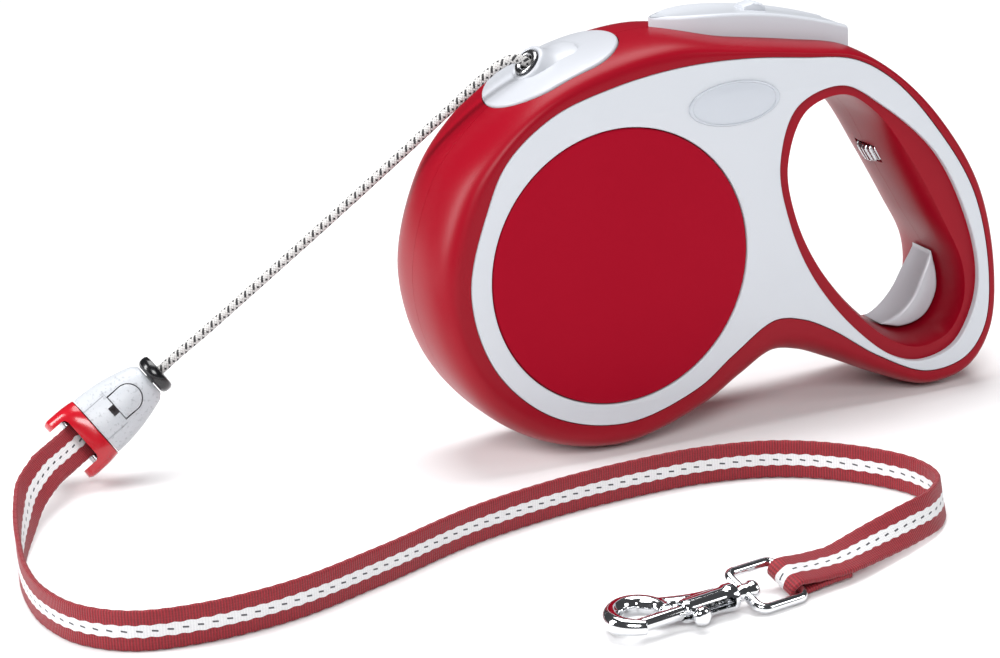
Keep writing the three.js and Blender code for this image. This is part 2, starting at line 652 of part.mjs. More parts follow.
add('brake_button', brakeButton(), GREY);
add('lock_slider', lockBlock(LOCK_LENGTH, LOCK_HALF_WIDTH, 4, 0.4 + RUN), GREY);
add('brake_pawl', brakePawl(), INNER_PLASTIC);
const springLength = SHELF_DEPTH - SPRING_TOP - 2 * COIL_WIRE - 1.6;
const springOrigin = springFoot(SPRING_TOP + COIL_WIRE + 0.4);
add('brake_spring', coilSpring(COIL_RADIUS, COIL_WIRE, 4, springLength, BUTTON_DOWN, springOrigin), STEEL);

// ---- grip adjuster ------------------------------------------------------------------------------------
const RIB_COUNT = 22;
function adjusterWheel() {
  const outline = [];
  for (let i = 0; i < RIB_COUNT; i += 1) {
    for (const [share, depth] of [[0, 0], [0.45, 0], [0.6, 0.7], [0.85, 0.7]]) {
      const radius = WHEEL_RADIUS - depth;
      const angle = ((i + share) / RIB_COUNT) * 2 * Math.PI;
      outline.push(at(radius * Math.cos(angle), radius * Math.sin(angle)));
    }
  }
  return along(plate(outline, -WHEEL_THICKNESS / 2, WHEEL_THICKNESS / 2), GRIP_UP, WHEEL);
}

function gripPad() {
  const outer = [[121.6, 42.6], [123, 35.5], [122.6, 28.7], [118, 21.3], [109.5, 18.9], [102.5, 20.6]];
  const inner = [[108.5, 23.4], [113.6, 28.2], [117.2, 34.5]];
  const curve = new THREE.SplineCurve(outer.map(([x, z]) => toCase(at(x, z)))).getPoints(14);
  const backPoints = [outer[5], ...inner, outer[0]].map(([x, z]) => toCase(at(x, z)));
  const back = new THREE.SplineCurve(backPoints).getPoints(12);
  const crescent = [...curve, ...back.slice(1, -1)].reverse();
  const stem = stemBlock(STEM_INWARD, STEM_HALF_WIDTH, STEM_LENGTH, 0);
  return cut(join(plate(crescent, -PAD_HALF_WIDTH, PAD_HALF_WIDTH), stem), spindle(FIT));
}

const spindle = (grow) => {
  const start = -WHEEL_THICKNESS / 2 - FIT;
  return rod(SPINDLE_RADIUS + grow, start - SPINDLE_LENGTH - grow, start + grow, GRIP_UP, WHEEL);
};

add('adjuster_wheel', adjusterWheel(), STEEL);
add('adjuster_spindle', spindle(0), STEEL);
add('grip_pad', gripPad(), GREY);

// ---- free cord ----------------------------------------------------------------------------------------
// A frame for pieces that lie turned: its X axis first, then the direction its Z axis should lean to.
function turnedGroup(origin, xAxis, zHint) {
  const x = xAxis.clone().normalize();
  const y = zHint.clone().cross(x).normalize();
  const z = x.clone().cross(y);
  const holder = new THREE.Group();
  holder.position.copy(origin);
  holder.quaternion.setFromRotationMatrix(new THREE.Matrix4().makeBasis(x, y, z));
  group.add(holder);
  return holder;
}

// A turned piece on the X axis of its group: profile points are [radius, x].
const turnedX = (profile, segments = 24) => turned(profile, 0, 0, segments).rotateZ(-Math.PI / 2);

const vector = ([x, y, z]) => new THREE.Vector3(x, y, z);

// The cord comes up out of the eyelet, turns over its lip and runs taut down to the stopper.
const CORD_ROUTE = [
  [-56.6, 0.2, 123.3], [-59.3, -0.1, 125.6], [-62.6, 0.2, 126.6], [-66.6, 1.3, 125.2], [-71, 3, 121.8],
  [-78.4, 6, 115], [-93.1, 12.1, 101.2], [-109.6, 19, 85.9], [-126.2, 25.8, 70.8], [-142.8, 32.6, 55.9],
  [-155.6, 38, 44.4], [-163.2, 41, 38], [-167.6, 42.1, 34.4], [-171, 42.5, 32], [-173.9, 42.7, 30],
];

function freeCord() {
  const path = new THREE.CatmullRomCurve3(CORD_ROUTE.map(vector), false, 'centripetal');
  const round = new THREE.Shape(circle(CORD_DIAMETER / 2, 0, 0, 8));
  return new THREE.ExtrudeGeometry(round, { steps: 36, extrudePath: path, bevelEnabled: false });
}

add('cord', freeCord(), BRAID);

// ---- coupler ------------------------------------------------------------------------------------------
// It leans with the fork's lower prong on the ground. X runs from the stopper to the fork, Z along the pin.
const COUPLER_AT = new THREE.Vector3(-171, 42.5, 32);
const COUPLER_AXIS = new THREE.Vector3(-0.819, 0.064, -0.57);
const PIN_AXIS = new THREE.Vector3(0.493, -0.429, -0.756);
const STOPPER_RADIUS = 6.4;
const STOPPER_THICKNESS = 4.2;
const HOUSING_LENGTH = 22;
const HOUSING_NOSE = 6.2;
const HOUSING_MOUTH = 10.6;
const HOUSING_FLATNESS = 0.76; // thickness over width
const FORK_COLLAR = 5.6;
const FORK_PLAY = 2; // between the strap's edge and a prong
const PRONG_THICKNESS = 3.4;
const FORK_HALF_WIDTH = STRAP_WIDTH / 2 + FORK_PLAY + PRONG_THICKNESS;
const PIN_RADIUS = 1.6;
const HOUSING_START = STOPPER_THICKNESS / 2 + FIT;
const FORK_START = HOUSING_START + HOUSING_LENGTH + FIT;
const PIN_X = 31.2;
const FORK_END = PIN_X + 5.4;
const coupler = turnedGroup(COUPLER_AT, COUPLER_AXIS, PIN_AXIS);

function stopper() {
  const half = STOPPER_THICKNESS / 2;
  const bore = CORD_DIAMETER / 2 + RUN;
  return turnedX([
    [bore, -half], [STOPPER_RADIUS - 1.6, -half], [STOPPER_RADIUS - 0.4, -half + 1], [STOPPER_RADIUS, 0],
    [STOPPER_RADIUS - 0.4, half - 1], [STOPPER_RADIUS - 1.6, half], [bore, half],
  ], 28);
}

// The bullet-shaped housing, shrunk by less inside to hollow it.
function bullet(less, from, to) {
  const profile = [[0, from]];
  for (let i = 0; i <= 6; i += 1) {
    const share = i / 6;
    const radius = HOUSING_NOSE + (HOUSING_MOUTH - HOUSING_NOSE) * Math.sin((share * Math.PI) / 2) ** 0.85;
    profile.push([radius - less, from + share * (to - from)]);
  }
  profile.push([0, to]);
  return turnedX(profile, 32).scale(1, HOUSING_FLATNESS, 1);
}

const BUTTON_X = 11.2;
const BUTTON_LENGTH = 9;
function releaseOutline(grow) {
  const half = 4.4 + grow;
  const shape = new THREE.Shape();
  shape.moveTo(BUTTON_X + BUTTON_LENGTH / 2 + grow, -half);
  shape.lineTo(BUTTON_X + BUTTON_LENGTH / 2 + grow, half);
  shape.lineTo(BUTTON_X, half);
  shape.absarc(BUTTON_X, 0, half, Math.PI / 2, 1.5 * Math.PI);
  return new THREE.Shape(shape.getPoints(8));
}

// The release button reaches from the viewer's side of the housing to its middle.
function releaseBlock(grow, from, to) {
  const block = new THREE.ExtrudeGeometry(releaseOutline(grow), { depth: to - from, bevelEnabled: false });
  return block.rotateX(Math.PI / 2).translate(0, to, 0);
}

const RELEASE_TRAVEL = 1.6;
const RELEASE_DEPTH = 3.2;
function couplerBody() {
  const outer = bullet(0, HOUSING_START, HOUSING_START + HOUSING_LENGTH);
  const inner = bullet(1.6, HOUSING_START + 1.6, HOUSING_START + HOUSING_LENGTH + 1);
  const bore = turnedX([[0, 0], [CORD_DIAMETER / 2 + RUN, 0], [CORD_DIAMETER / 2 + RUN, 8], [0, 8]], 16);
  return cut(outer, inner, bore, releaseBlock(FIT, -HOUSING_MOUTH, 0));
}

function couplerButton() {
  const skin = bullet(-0.3, HOUSING_START, HOUSING_START + HOUSING_LENGTH);
  const core = bullet(RELEASE_DEPTH, HOUSING_START - 1, HOUSING_START + HOUSING_LENGTH + 1);
  return common(cut(skin, core), releaseBlock(0, -HOUSING_MOUTH, -1));
}

function couplerFork() {
  const collar = bulletEnd(0);
  const hollow = bulletEnd(2.4);
  const prong = (side) => {
    const depth = 2 * HOUSING_MOUTH * HOUSING_FLATNESS * 0.72;
    const block = new THREE.BoxGeometry(FORK_END - FORK_START - 2, depth, PRONG_THICKNESS);
    const middle = (FORK_END + FORK_START + 2) / 2;
    return block.translate(middle, 0, side * (FORK_HALF_WIDTH - PRONG_THICKNESS / 2));
  };
  const pinBore = new THREE.CylinderGeometry(PIN_RADIUS + 0.2, PIN_RADIUS + 0.2, 40, 16).rotateX(Math.PI / 2);
  return cut(join(cut(collar, hollow), prong(-1), prong(1)), pinBore.translate(PIN_X, 0, 0));
}

function bulletEnd(less) {
  const grow = less ? 1 : 0;
  const from = FORK_START - grow;
  const to = FORK_START + FORK_COLLAR + grow;
  const profile = [[0, from], [HOUSING_MOUTH + 0.2 - less, from], [FORK_HALF_WIDTH - less, to], [0, to]];
  return turnedX(profile, 32).scale(1, HOUSING_FLATNESS, 1);
}

function forkPin() {
  const length = 2 * FORK_HALF_WIDTH - 0.6;
  const cylinder = new THREE.CylinderGeometry(PIN_RADIUS, PIN_RADIUS, length, 16);
  return cylinder.rotateX(Math.PI / 2).translate(PIN_X, 0, 0);
}

add('stopper', stopper(), BLACK_RUBBER, coupler);
add('coupler_body', couplerBody(), GREY, coupler);
add('coupler_button', couplerButton(), GREY, coupler);
add('coupler_fork', couplerFork(), RED, coupler);
add('fork_pin', forkPin(), STEEL, coupler);

// ---- strap --------------------------------------------------------------------------------------------
// The sewn end of the strap: a band that goes round a bar and comes back to itself. X points away from the
// bar, Z along it.
function sewnLoop(barRadius, length) {
  const inner = barRadius + FIT;
  const outer = inner + STRAP_THICKNESS;
  const outline = (radius, end) => {
    const shape = new THREE.Shape();
    shape.moveTo(end, -STRAP_THICKNESS - FIT / 2 + (outer - radius));
    shape.lineTo(end, STRAP_THICKNESS + FIT / 2 - (outer - radius));
    shape.bezierCurveTo(end * 0.6, STRAP_THICKNESS, radius * 1.8, radius, 0, radius);
    shape.absarc(0, 0, radius, Math.PI / 2, 1.5 * Math.PI);
    const rest = -STRAP_THICKNESS - FIT / 2 + (outer - radius);
    shape.bezierCurveTo(radius * 1.8, -radius, end * 0.6, -STRAP_THICKNESS, end, rest);
    return shape.getPoints(7);
  };
  const band = new THREE.Shape(outline(outer, length));
  const eye = [];
  for (const p of outline(inner, length * 0.5)) eye.push(p);
  band.holes.push(new THREE.Path(eye));
  const ribbon = new THREE.ExtrudeGeometry(band, { depth: STRAP_WIDTH, bevelEnabled: false });
  return ribbon.translate(0, 0, -STRAP_WIDTH / 2);
}

// The strap stands on its edge. Each entry is the middle of the strap and its lean from upright in degrees.
const STRAP_ROUTE = [
  [-215.8, 24.4, 13.05, 41], [-221.5, 16, 11.2, 36], [-227.5, 4, 8.8, 24],
  [-232.8, -8.5, 6.9, 10], [-237.3, -22.6, 6.1, 0],
  [-241.2, -42, 6.05, 0], [-241.8, -60, 6.05, 0], [-237.3, -77, 6.05, 0], [-226, -89, 6.05, 0],
  [-207.7, -93.6, 6.05, 0], [-180, -91.6, 6.05, 0], [-147, -80.2, 6.05, 0], [-113, -66, 6.05, 0],
  [-82, -58.5, 6.05, 0], [-54.7, -55.9, 6.05, 0], [-30, -56.8, 6.05, 0], [-8, -64, 6.05, 0],
  [9, -79.5, 6.05, 0], [18.6, -97.5, 6.05, 0], [18.4, -113, 6.1, 6], [9.5, -124.5, 6.3, 18],
  [-4, -131.5, 6.4, 34], [-17.5, -136.4, 5.8, 52], [-29.7, -140.9, 4.75, 69],
];

function strapSections(route, steps) {
  const path = new THREE.CatmullRomCurve3(route.map(vector), false, 'centripetal');
  const leans = new THREE.CatmullRomCurve3(route.map((p) => new THREE.Vector3(p[3], 0, 0)));
  return Array.from({ length: steps + 1 }, (_, i) => {
    const share = i / steps;
    const centre = path.getPoint(share);
    const ahead = path.getTangent(share);
    const level = new THREE.Vector3(ahead.y, -ahead.x, 0).normalize();
    const lean = THREE.MathUtils.degToRad(leans.getPoint(share).x);
    const upright = level.clone().cross(ahead).normalize();
    if (upright.z < 0) upright.negate();
    const wide = upright.clone().multiplyScalar(Math.cos(lean)).addScaledVector(level, Math.sin(lean));
    const thick = wide.clone().cross(ahead).normalize();
    const corner = (w, t) => centre.clone().addScaledVector(wide, w).addScaledVector(thick, t);
    const w = STRAP_WIDTH / 2;
    const t = STRAP_THICKNESS / 2;
    return [corner(-w, -t), corner(w, -t), corner(w, t), corner(-w, t)];
  });
}

const squareCap = () => [at(0, 0), at(1, 0), at(1, 1), at(0, 1)];

const FORK_PIN_AT = COUPLER_AT.clone().addScaledVector(COUPLER_AXIS.clone().normalize(), PIN_X);
const FORK_LOOP_LENGTH = 26;
const forkLoop = turnedGroup(FORK_PIN_AT, vector([-0.69, -0.7195, -0.0413]), PIN_AXIS.clone().negate());
add('fork_loop', sewnLoop(PIN_RADIUS, FORK_LOOP_LENGTH), WEBBING, forkLoop);
add('strap', loft(strapSections(STRAP_ROUTE, 66), squareCap), WEBBING);

// ---- snap hook ----------------------------------------------------------------------------------------
// X runs from the swivel to the tip, and the hook lies flat on the ground.
const HOOK_AT = new THREE.Vector3(-67, -147.6, 4.5);
const HOOK_AXIS = new THREE.Vector3(-0.985, -0.17, 0);
const BARREL_RADIUS = 4;
const BARREL_START = 3.4;
const BARREL_END = 22;
const BOLT_RADIUS = 2.1;
const BOLT_TRAVEL = 10;
const HOOK_HALF_HEIGHT = 2.9;
const RING_X = 32;
const RING_Y = -5.2;
const EYE_SPAN = 16; // between the middles of the swivel eye's two bars
const EYE_WIRE = 1.5;
const EYE_PLAY = 0.9; // between the strap's edge and the eye's side
const EYE_HALF_WIDTH = STRAP_WIDTH / 2 + EYE_PLAY + EYE_WIRE;
const POST_RADIUS = 2;
const hook = turnedGroup(HOOK_AT, HOOK_AXIS, vector([0, 0, 1]));

function hookBody() {
  const oval = (x, y, rx, ry) =>
    new THREE.EllipseCurve(x, y, rx, ry, 0, 2 * Math.PI).getSpacedPoints(40).slice(0, 40);
  const ring = new THREE.Shape(oval(RING_X, RING_Y, 9.6, 10.6));
  ring.holes.push(new THREE.Path(oval(RING_X - 0.4, RING_Y + 0.6, 5.6, 5.4)));
  const depth = 2 * HOOK_HALF_HEIGHT;
  const flat = (shape) =>
    new THREE.ExtrudeGeometry(shape, { depth, bevelEnabled: false }).translate(0, 0, -HOOK_HALF_HEIGHT);
  const neck = new THREE.Shape();
  neck.moveTo(BARREL_START + 8, -1);
  neck.lineTo(BARREL_START + 8, -3.2);
  neck.quadraticCurveTo(BARREL_END - 4, -6, RING_X - 8, -11.5);
  neck.lineTo(RING_X - 5, -4.5);
  neck.lineTo(BARREL_END, -1);
  const barrelProfile = [
    [0, BARREL_START], [BARREL_RADIUS - 1, BARREL_START], [BARREL_RADIUS, BARREL_START + 1.2],
    [BARREL_RADIUS, BARREL_START + 4], [BARREL_RADIUS - 0.4, BARREL_END - 1],
    [BARREL_RADIUS - 0.8, BARREL_END], [0, BARREL_END],
  ];
  const barrel = turnedX(barrelProfile, 24);
  const [boreRadius, boreEnd] = [BOLT_RADIUS + 0.35, RING_X + 6.2];
  const bore = turnedX([[0, BORE_START], [boreRadius, BORE_START], [boreRadius, boreEnd], [0, boreEnd]], 20);
  const gate = new THREE.BoxGeometry(12.4, 8, 12).translate(RING_X - 1.2, RING_Y + 9.2, 0);
  const slotLength = BOLT_TRAVEL + 2 * KNOB_RADIUS + 1.4;
  const slot = new THREE.BoxGeometry(slotLength, 12, 2 * KNOB_NECK + 0.8);
  slot.translate(KNOB_X - BOLT_TRAVEL / 2, 6, 0);
  return cut(join(flat(ring), flat(neck), barrel), gate, bore, slot);
}

const KNOB_X = 19;
const KNOB_RADIUS = 2.6;
const KNOB_NECK = 1.1;
const BORE_START = KNOB_X - BOLT_TRAVEL - 3.8;
const BOLT_REAR = KNOB_X - 2.4;
function hookBolt() {
  const tip = RING_X + 6;
  const profile = [
    [0, BOLT_REAR], [BOLT_RADIUS, BOLT_REAR], [BOLT_RADIUS, tip - 0.4], [BOLT_RADIUS - 0.5, tip], [0, tip],
  ];
  const rodPart = turnedX(profile, 20);
  const neck = new THREE.CylinderGeometry(KNOB_NECK, KNOB_NECK, 6.4, 12).translate(KNOB_X, 3.2, 0);
  const knob = new THREE.CylinderGeometry(KNOB_RADIUS, KNOB_RADIUS, 2.6, 20).translate(KNOB_X, 6.2, 0);
  return join(rodPart, neck, knob);
}

// The eye is a rectangular wire loop with a headed post through its base bar.
const EYE_LEAN = THREE.MathUtils.degToRad(-20);
function swivelEye() {
  const outline = (inset) => {
    const half = EYE_HALF_WIDTH + EYE_WIRE - inset;
    const corner = 3 - Math.min(inset, 2);
    const left = -EYE_SPAN - EYE_WIRE + inset;
    const right = EYE_WIRE - inset;
    const shape = new THREE.Shape();
    shape.moveTo(left + corner, -half);
    shape.lineTo(right - corner, -half);
    shape.quadraticCurveTo(right, -half, right, -half + corner);
    shape.lineTo(right, half - corner);
    shape.quadraticCurveTo(right, half, right - corner, half);
    shape.lineTo(left + corner, half);
    shape.quadraticCurveTo(left, half, left, half - corner);
    shape.lineTo(left, -half + corner);
    shape.quadraticCurveTo(left, -half, left + corner, -half);
    return shape.getPoints(3);
  };
  const shape = new THREE.Shape(outline(0));
  shape.holes.push(new THREE.Path(outline(2 * EYE_WIRE)));
  const frame = new THREE.ExtrudeGeometry(shape, { depth: 2 * EYE_WIRE, bevelEnabled: false });
  frame.translate(0, 0, -EYE_WIRE);
  const [headRadius, postEnd] = [POST_RADIUS + 0.8, BARREL_START - 0.3];
  const profile = [
    [0, -4.2], [headRadius, -4.2], [headRadius, -1], [POST_RADIUS, 1.4], [POST_RADIUS, postEnd], [0, postEnd],
  ];
  const post = turnedX(profile, 20);
  return join(frame, post);
}

add('hook_body', hookBody(), CHROME, hook);
add('hook_bolt', hookBolt(), CHROME, hook);
const xAxis = new THREE.Vector3(1, 0, 0);
const boltSpringStart = new THREE.Vector3(BORE_START + 0.6, 0, 0);
const boltSpring = coilSpring(1.5, 0.3, 4, BOLT_REAR - BORE_START - 1.2, xAxis, boltSpringStart);
add('bolt_spring', boltSpring, STEEL, hook);
const eyeHolder = new THREE.Group();
eyeHolder.rotation.x = EYE_LEAN;
hook.add(eyeHolder);
add('swivel_eye', swivelEye(), CHROME, eyeHolder);

const HOOK_LOOP_LENGTH = 20;
const eyeWide = vector([-0.16, 0.926, 0.342]);
const FAR_BAR_AT = HOOK_AT.clone().addScaledVector(HOOK_AXIS.clone().normalize(), -EYE_SPAN);
const hookLoop = turnedGroup(FAR_BAR_AT, HOOK_AXIS.clone().negate(), eyeWide);
add('hook_loop', sewnLoop(EYE_WIRE * 1.42, HOOK_LOOP_LENGTH), WEBBING, hookLoop);

export default group;
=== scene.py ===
# %% [markdown]
# # A retractable leash
# The object is a hand-held case with a cord reel inside, a thumb brake on top and a grip with an adjustable
# pad. A thin braided cord runs from the case to a coupler, and a webbing strap runs on from there to a snap
# hook. The frame below is the engineered model: every piece made here sits where that model says and moves
# with its bodies.

# %% Load the frame
import math

import bmesh
import bpy
import numpy as np
from mathutils import Matrix, Vector
from mathutils.bvhtree import BVHTree
from mathutils.geometry import tessellate_polygon


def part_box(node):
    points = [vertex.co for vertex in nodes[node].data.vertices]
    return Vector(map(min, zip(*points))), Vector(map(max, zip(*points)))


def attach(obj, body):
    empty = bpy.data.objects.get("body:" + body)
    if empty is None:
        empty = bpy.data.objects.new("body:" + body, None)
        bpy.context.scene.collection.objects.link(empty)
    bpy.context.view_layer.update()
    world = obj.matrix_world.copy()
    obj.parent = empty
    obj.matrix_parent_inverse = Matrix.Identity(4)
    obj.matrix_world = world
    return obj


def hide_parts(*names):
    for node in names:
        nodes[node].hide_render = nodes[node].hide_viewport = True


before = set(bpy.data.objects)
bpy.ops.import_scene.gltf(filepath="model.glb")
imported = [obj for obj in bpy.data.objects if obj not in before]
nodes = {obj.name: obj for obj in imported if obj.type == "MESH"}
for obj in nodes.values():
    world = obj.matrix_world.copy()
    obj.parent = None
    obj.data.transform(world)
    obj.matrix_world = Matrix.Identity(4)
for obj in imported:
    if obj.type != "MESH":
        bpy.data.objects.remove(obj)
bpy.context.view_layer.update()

# %% [markdown]
# Sizes are written in metres, as everything in Blender is here. Working in millimetres is easier to read, so
# one factor turns the drawn points into metres.

# %% Sizes of the case, the cord and the strap
MM = 0.001
HALF = 21.3 * MM  # half the thickness of the case
BODY_RADIUS = 61.4 * MM
FACE_RADIUS = 51.2 * MM
DISC_RADIUS = 44 * MM
REEL = Vector((-38.6, 0, 61.4)) * MM
PLATE_OUT = HALF - 2 * MM  # floor of the recess that holds the trim
PLATE_IN = PLATE_OUT - 2 * MM
WALL = 2.4 * MM
FIT = 0.3 * MM
RUN = 0.5 * MM
CORD_DIAMETER = 3 * MM
STRAP_WIDTH = 12 * MM
STRAP_THICKNESS = 1.6 * MM


def mm(*values):
    return Vector(values) * MM


# %% [markdown]
# ## The camera
# The leash is seen from the front left and from a little above with a long lens, so the case shows hardly
# any perspective. The camera is turned by three angles: around the upright, down, and a slight roll.

# %% Camera
VIEW_TURN, VIEW_DOWN, VIEW_ROLL = -24.22, 18.07, -2.53
lens = bpy.data.cameras.new("studio_camera")
lens.lens = 119.4
lens.sensor_width = 36
lens.clip_end = 20
camera = bpy.data.objects.new("studio_camera", lens)
bpy.context.collection.objects.link(camera)
turn = Matrix.Rotation(math.radians(VIEW_TURN), 4, "Z")
down = Matrix.Rotation(math.radians(90 - VIEW_DOWN), 4, "X")
roll = Matrix.Rotation(math.radians(VIEW_ROLL), 4, "Z")
camera.matrix_world = Matrix.Translation(mm(-475.6, -898.9, 362.8)) @ turn @ down @ roll
bpy.context.scene.camera = camera
print("camera looks along", [round(v, 3) for v in camera.matrix_world.to_3x3() @ Vector((0, 0, -1))])

# %% [markdown]
# ## Making meshes
# Nearly every piece is a row of rings joined by quads: a tube, a turned part, a moulding with rounded edges.
# One helper joins the rings, and small ones make the rings. Faces are shaded smooth, and edges sharper than a
# given angle stay crisp, which suits moulded plastic with small radii.


# %% Mesh helpers
def piece(name, points, faces, body, crisp=32, uv=None):
    mesh = bpy.data.meshes.new(name)
    mesh.from_pydata([tuple(p) for p in points], [], faces)
    if uv is not None:
        layer = mesh.uv_layers.new(name="UVMap")
        corners = [uv[f][k] for f, face in enumerate(faces) for k in range(len(face))]
        layer.data.foreach_set("uv", np.array(corners, dtype=float).ravel())
    made = bpy.data.objects.new(name, mesh)
    bpy.context.collection.objects.link(made)
    tidy(made, crisp)
    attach(made, body)
    return made


def tidy(made, crisp=32):
    """Faces point outwards, shading is smooth, and sharp edges stay crisp."""
    work = bmesh.new()
    work.from_mesh(made.data)
    bmesh.ops.recalc_face_normals(work, faces=work.faces)
    work.to_mesh(made.data)
    work.free()
    made.data.shade_smooth()
    made.data.set_sharp_from_angle(angle=math.radians(crisp))


def rings_to_faces(rings, closed=False, caps=True):
    """Points and faces of a skin over rings of equally many points."""
    count = len(rings[0])
    points = [p for ring in rings for p in ring]
    faces = []
    levels = len(rings) if closed else len(rings) - 1
    for level in range(levels):
        low = level * count
        high = ((level + 1) % len(rings)) * count
        for i in range(count):
            j = (i + 1) % count
            faces.append((low + i, low + j, high + j, high + i))
    if caps and not closed:
        faces.append(tuple(range(count))[::-1])
        faces.append(tuple(range(len(points) - count, len(points))))
    return points, faces


def full_turn(steps):
    return np.linspace(0, 2 * math.pi, steps, endpoint=False)


def clamp(value):
    return min(max(value, 0), 1)


def revolve(profile, steps=96, closed=False):
    """Rings around the local X axis from (along, radius) pairs; a closed profile makes a hollow ring."""
    rings = []
    for x, radius in profile:
        r = max(radius, 1e-6)
        rings.append([Vector((x, r * math.cos(a), r * math.sin(a))) for a in full_turn(steps)])
    return rings_to_faces(rings, closed=closed)


def turned(profile, steps, closed=False):
    """A turned part from (along, radius) pairs in millimetres."""
    return revolve([(x * MM, r * MM) for x, r in profile], steps, closed)


def rod(low, high, radius, steps):
    """A plain round rod along the local X axis."""
    return revolve([(low, 0), (low, radius), (high, radius), (high, 0)], steps)


def moved(points, matrix):
    return [matrix @ Vector(p) for p in points]


def frame_at(origin, x_axis, z_hint):
    """A place with its X axis along x_axis and its Z axis as near to z_hint as it can be."""
    x = Vector(x_axis).normalized()
    y = Vector(z_hint).cross(x).normalized()
    z = x.cross(y)
    return Matrix.Translation(Vector(origin)) @ Matrix((x, y, z)).transposed().to_4x4()


def rounded_corner(radius, steps=5):
    """Steps of a quarter round, as (distance in from the side, distance down from the top)."""
    angles = [k / steps * math.pi / 2 for k in range(steps + 1)]
    return [(radius * (1 - math.cos(a)), radius * (1 - math.sin(a))) for a in angles]


def combine(target, cutter, operation):
    """A boolean of two closed meshes, applied at once; the cutter is used up."""
    step = target.modifiers.new("combine", "BOOLEAN")
    step.solver = "MANIFOLD"
    step.operation = operation
    step.object = cutter
    bpy.context.view_layer.update()
    result = bpy.data.meshes.new_from_object(target.evaluated_get(bpy.context.evaluated_depsgraph_get()))
    target.modifiers.clear()
    target.data = result
    bpy.data.objects.remove(cutter)
    return target


def cutter(points, faces):
    """A throw-away closed mesh for a boolean."""
    mesh = bpy.data.meshes.new("cutter")
    mesh.from_pydata([tuple(p) for p in points], [], faces)
    made = bpy.data.objects.new("cutter", mesh)
    bpy.context.collection.objects.link(made)
    tidy(made)
    return made


def cut(target, points, faces):
    """Takes a closed solid out of a mesh."""
    return combine(target, cutter(points, faces), "DIFFERENCE")


# %% [markdown]
# ## Smooth lines through chosen points
# A cord or a strap is described by a few points that it passes through. The line between them is a
# centripetal Catmull-Rom curve, which never loops or overshoots between points that are unevenly spaced.


# %% Smooth lines
def smooth_line(points, closed=False, per_span=24):
    p = np.array([tuple(q) for q in points], dtype=float)
    p = np.vstack([p[-1], p, p[0], p[1]]) if closed else np.vstack([2 * p[0] - p[1], p, 2 * p[-1] - p[-2]])
    knots = np.concatenate([[0], np.cumsum(np.linalg.norm(np.diff(p[:, :3], axis=0), axis=1) ** 0.5)])
    line = []
    for i in range(1, len(p) - 2):
        t0, t1, t2, t3 = knots[i - 1 : i + 3]
        for t in np.linspace(t1, t2, per_span, endpoint=False):
            a1 = (t1 - t) / (t1 - t0) * p[i - 1] + (t - t0) / (t1 - t0) * p[i]
            a2 = (t2 - t) / (t2 - t1) * p[i] + (t - t1) / (t2 - t1) * p[i + 1]
            a3 = (t3 - t) / (t3 - t2) * p[i + 1] + (t - t2) / (t3 - t2) * p[i + 2]
            b1 = (t2 - t) / (t2 - t0) * a1 + (t - t0) / (t2 - t0) * a2
            b2 = (t3 - t) / (t3 - t1) * a2 + (t - t1) / (t3 - t1) * a3
            line.append((t2 - t) / (t2 - t1) * b1 + (t - t1) / (t2 - t1) * b2)
    if not closed:
        line.append(p[-2])
    return np.array(line)


def evenly(line, spacing):
    """The same line as points a given distance apart, with its running length."""
    lengths = np.concatenate([[0], np.cumsum(np.linalg.norm(np.diff(line[:, :3], axis=0), axis=1))])
    count = max(2, int(round(lengths[-1] / spacing)) + 1)
    along = np.linspace(0, lengths[-1], count)
    return np.column_stack([np.interp(along, lengths, line[:, k]) for k in range(line.shape[1])]), along


# %% [markdown]
# ## The braided cord
# The cord comes up out of the metal eyelet, turns over its lip and runs taut down to the coupler. It is a
# tube of short rings; each ring carries a pair of UV coordinates, around and along, so the braid of the
# material can follow the cord wherever it goes. The carriers of the braid also lift the surface a little.

# %% Cord
CORD_ROUTE = [
    mm(-56.6, 0.2, 123.3), mm(-59.3, -0.1, 125.6), mm(-62.6, 0.2, 126.6), mm(-66.6, 1.3, 125.2),
    mm(-71, 3, 121.8), mm(-78.4, 6, 115), mm(-93.1, 12.1, 101.2), mm(-109.6, 19, 85.9),
    mm(-126.2, 25.8, 70.8), mm(-142.8, 32.6, 55.9), mm(-155.6, 38, 44.4), mm(-163.2, 41, 38),
    mm(-167.6, 42.1, 34.4), mm(-171, 42.5, 32), mm(-173.9, 42.7, 30),
]
BRAID_CARRIERS = 8
BRAID_PITCH = 7.2 * MM  # length in which one carrier goes once around the cord


def sweep(line, section):
    """Rings along a line: section(along, angle) gives the radius. Frames are carried along without twist."""
    tangents = np.gradient(line, axis=0)
    tangents /= np.linalg.norm(tangents, axis=1)[:, None]
    side = np.cross(tangents[0], (0, 0, 1.0))
    rings = []
    lengths = np.concatenate([[0], np.cumsum(np.linalg.norm(np.diff(line, axis=0), axis=1))])
    for point, ahead, along in zip(line, tangents, lengths):
        side = side - ahead * np.dot(side, ahead)
        side /= np.linalg.norm(side)
        up = np.cross(ahead, side)
        outwards = [side * math.cos(a) + up * math.sin(a) for a in section.angles]
        rings.append([point + section(along, a) * out for a, out in zip(section.angles, outwards)])
    return rings, lengths


def braided(along, angle):
    """Radius of the braid: two families of carriers that pass over each other."""
    first = BRAID_CARRIERS * (angle / (2 * math.pi) + along / BRAID_PITCH)
    second = BRAID_CARRIERS * (angle / (2 * math.pi) - along / BRAID_PITCH)
    crown = max(abs(math.sin(math.pi * first)), abs(math.sin(math.pi * second)))
    return CORD_DIAMETER / 2 * (0.93 + 0.07 * crown)


CORD_SIDES = 32
braided.angles = full_turn(CORD_SIDES)


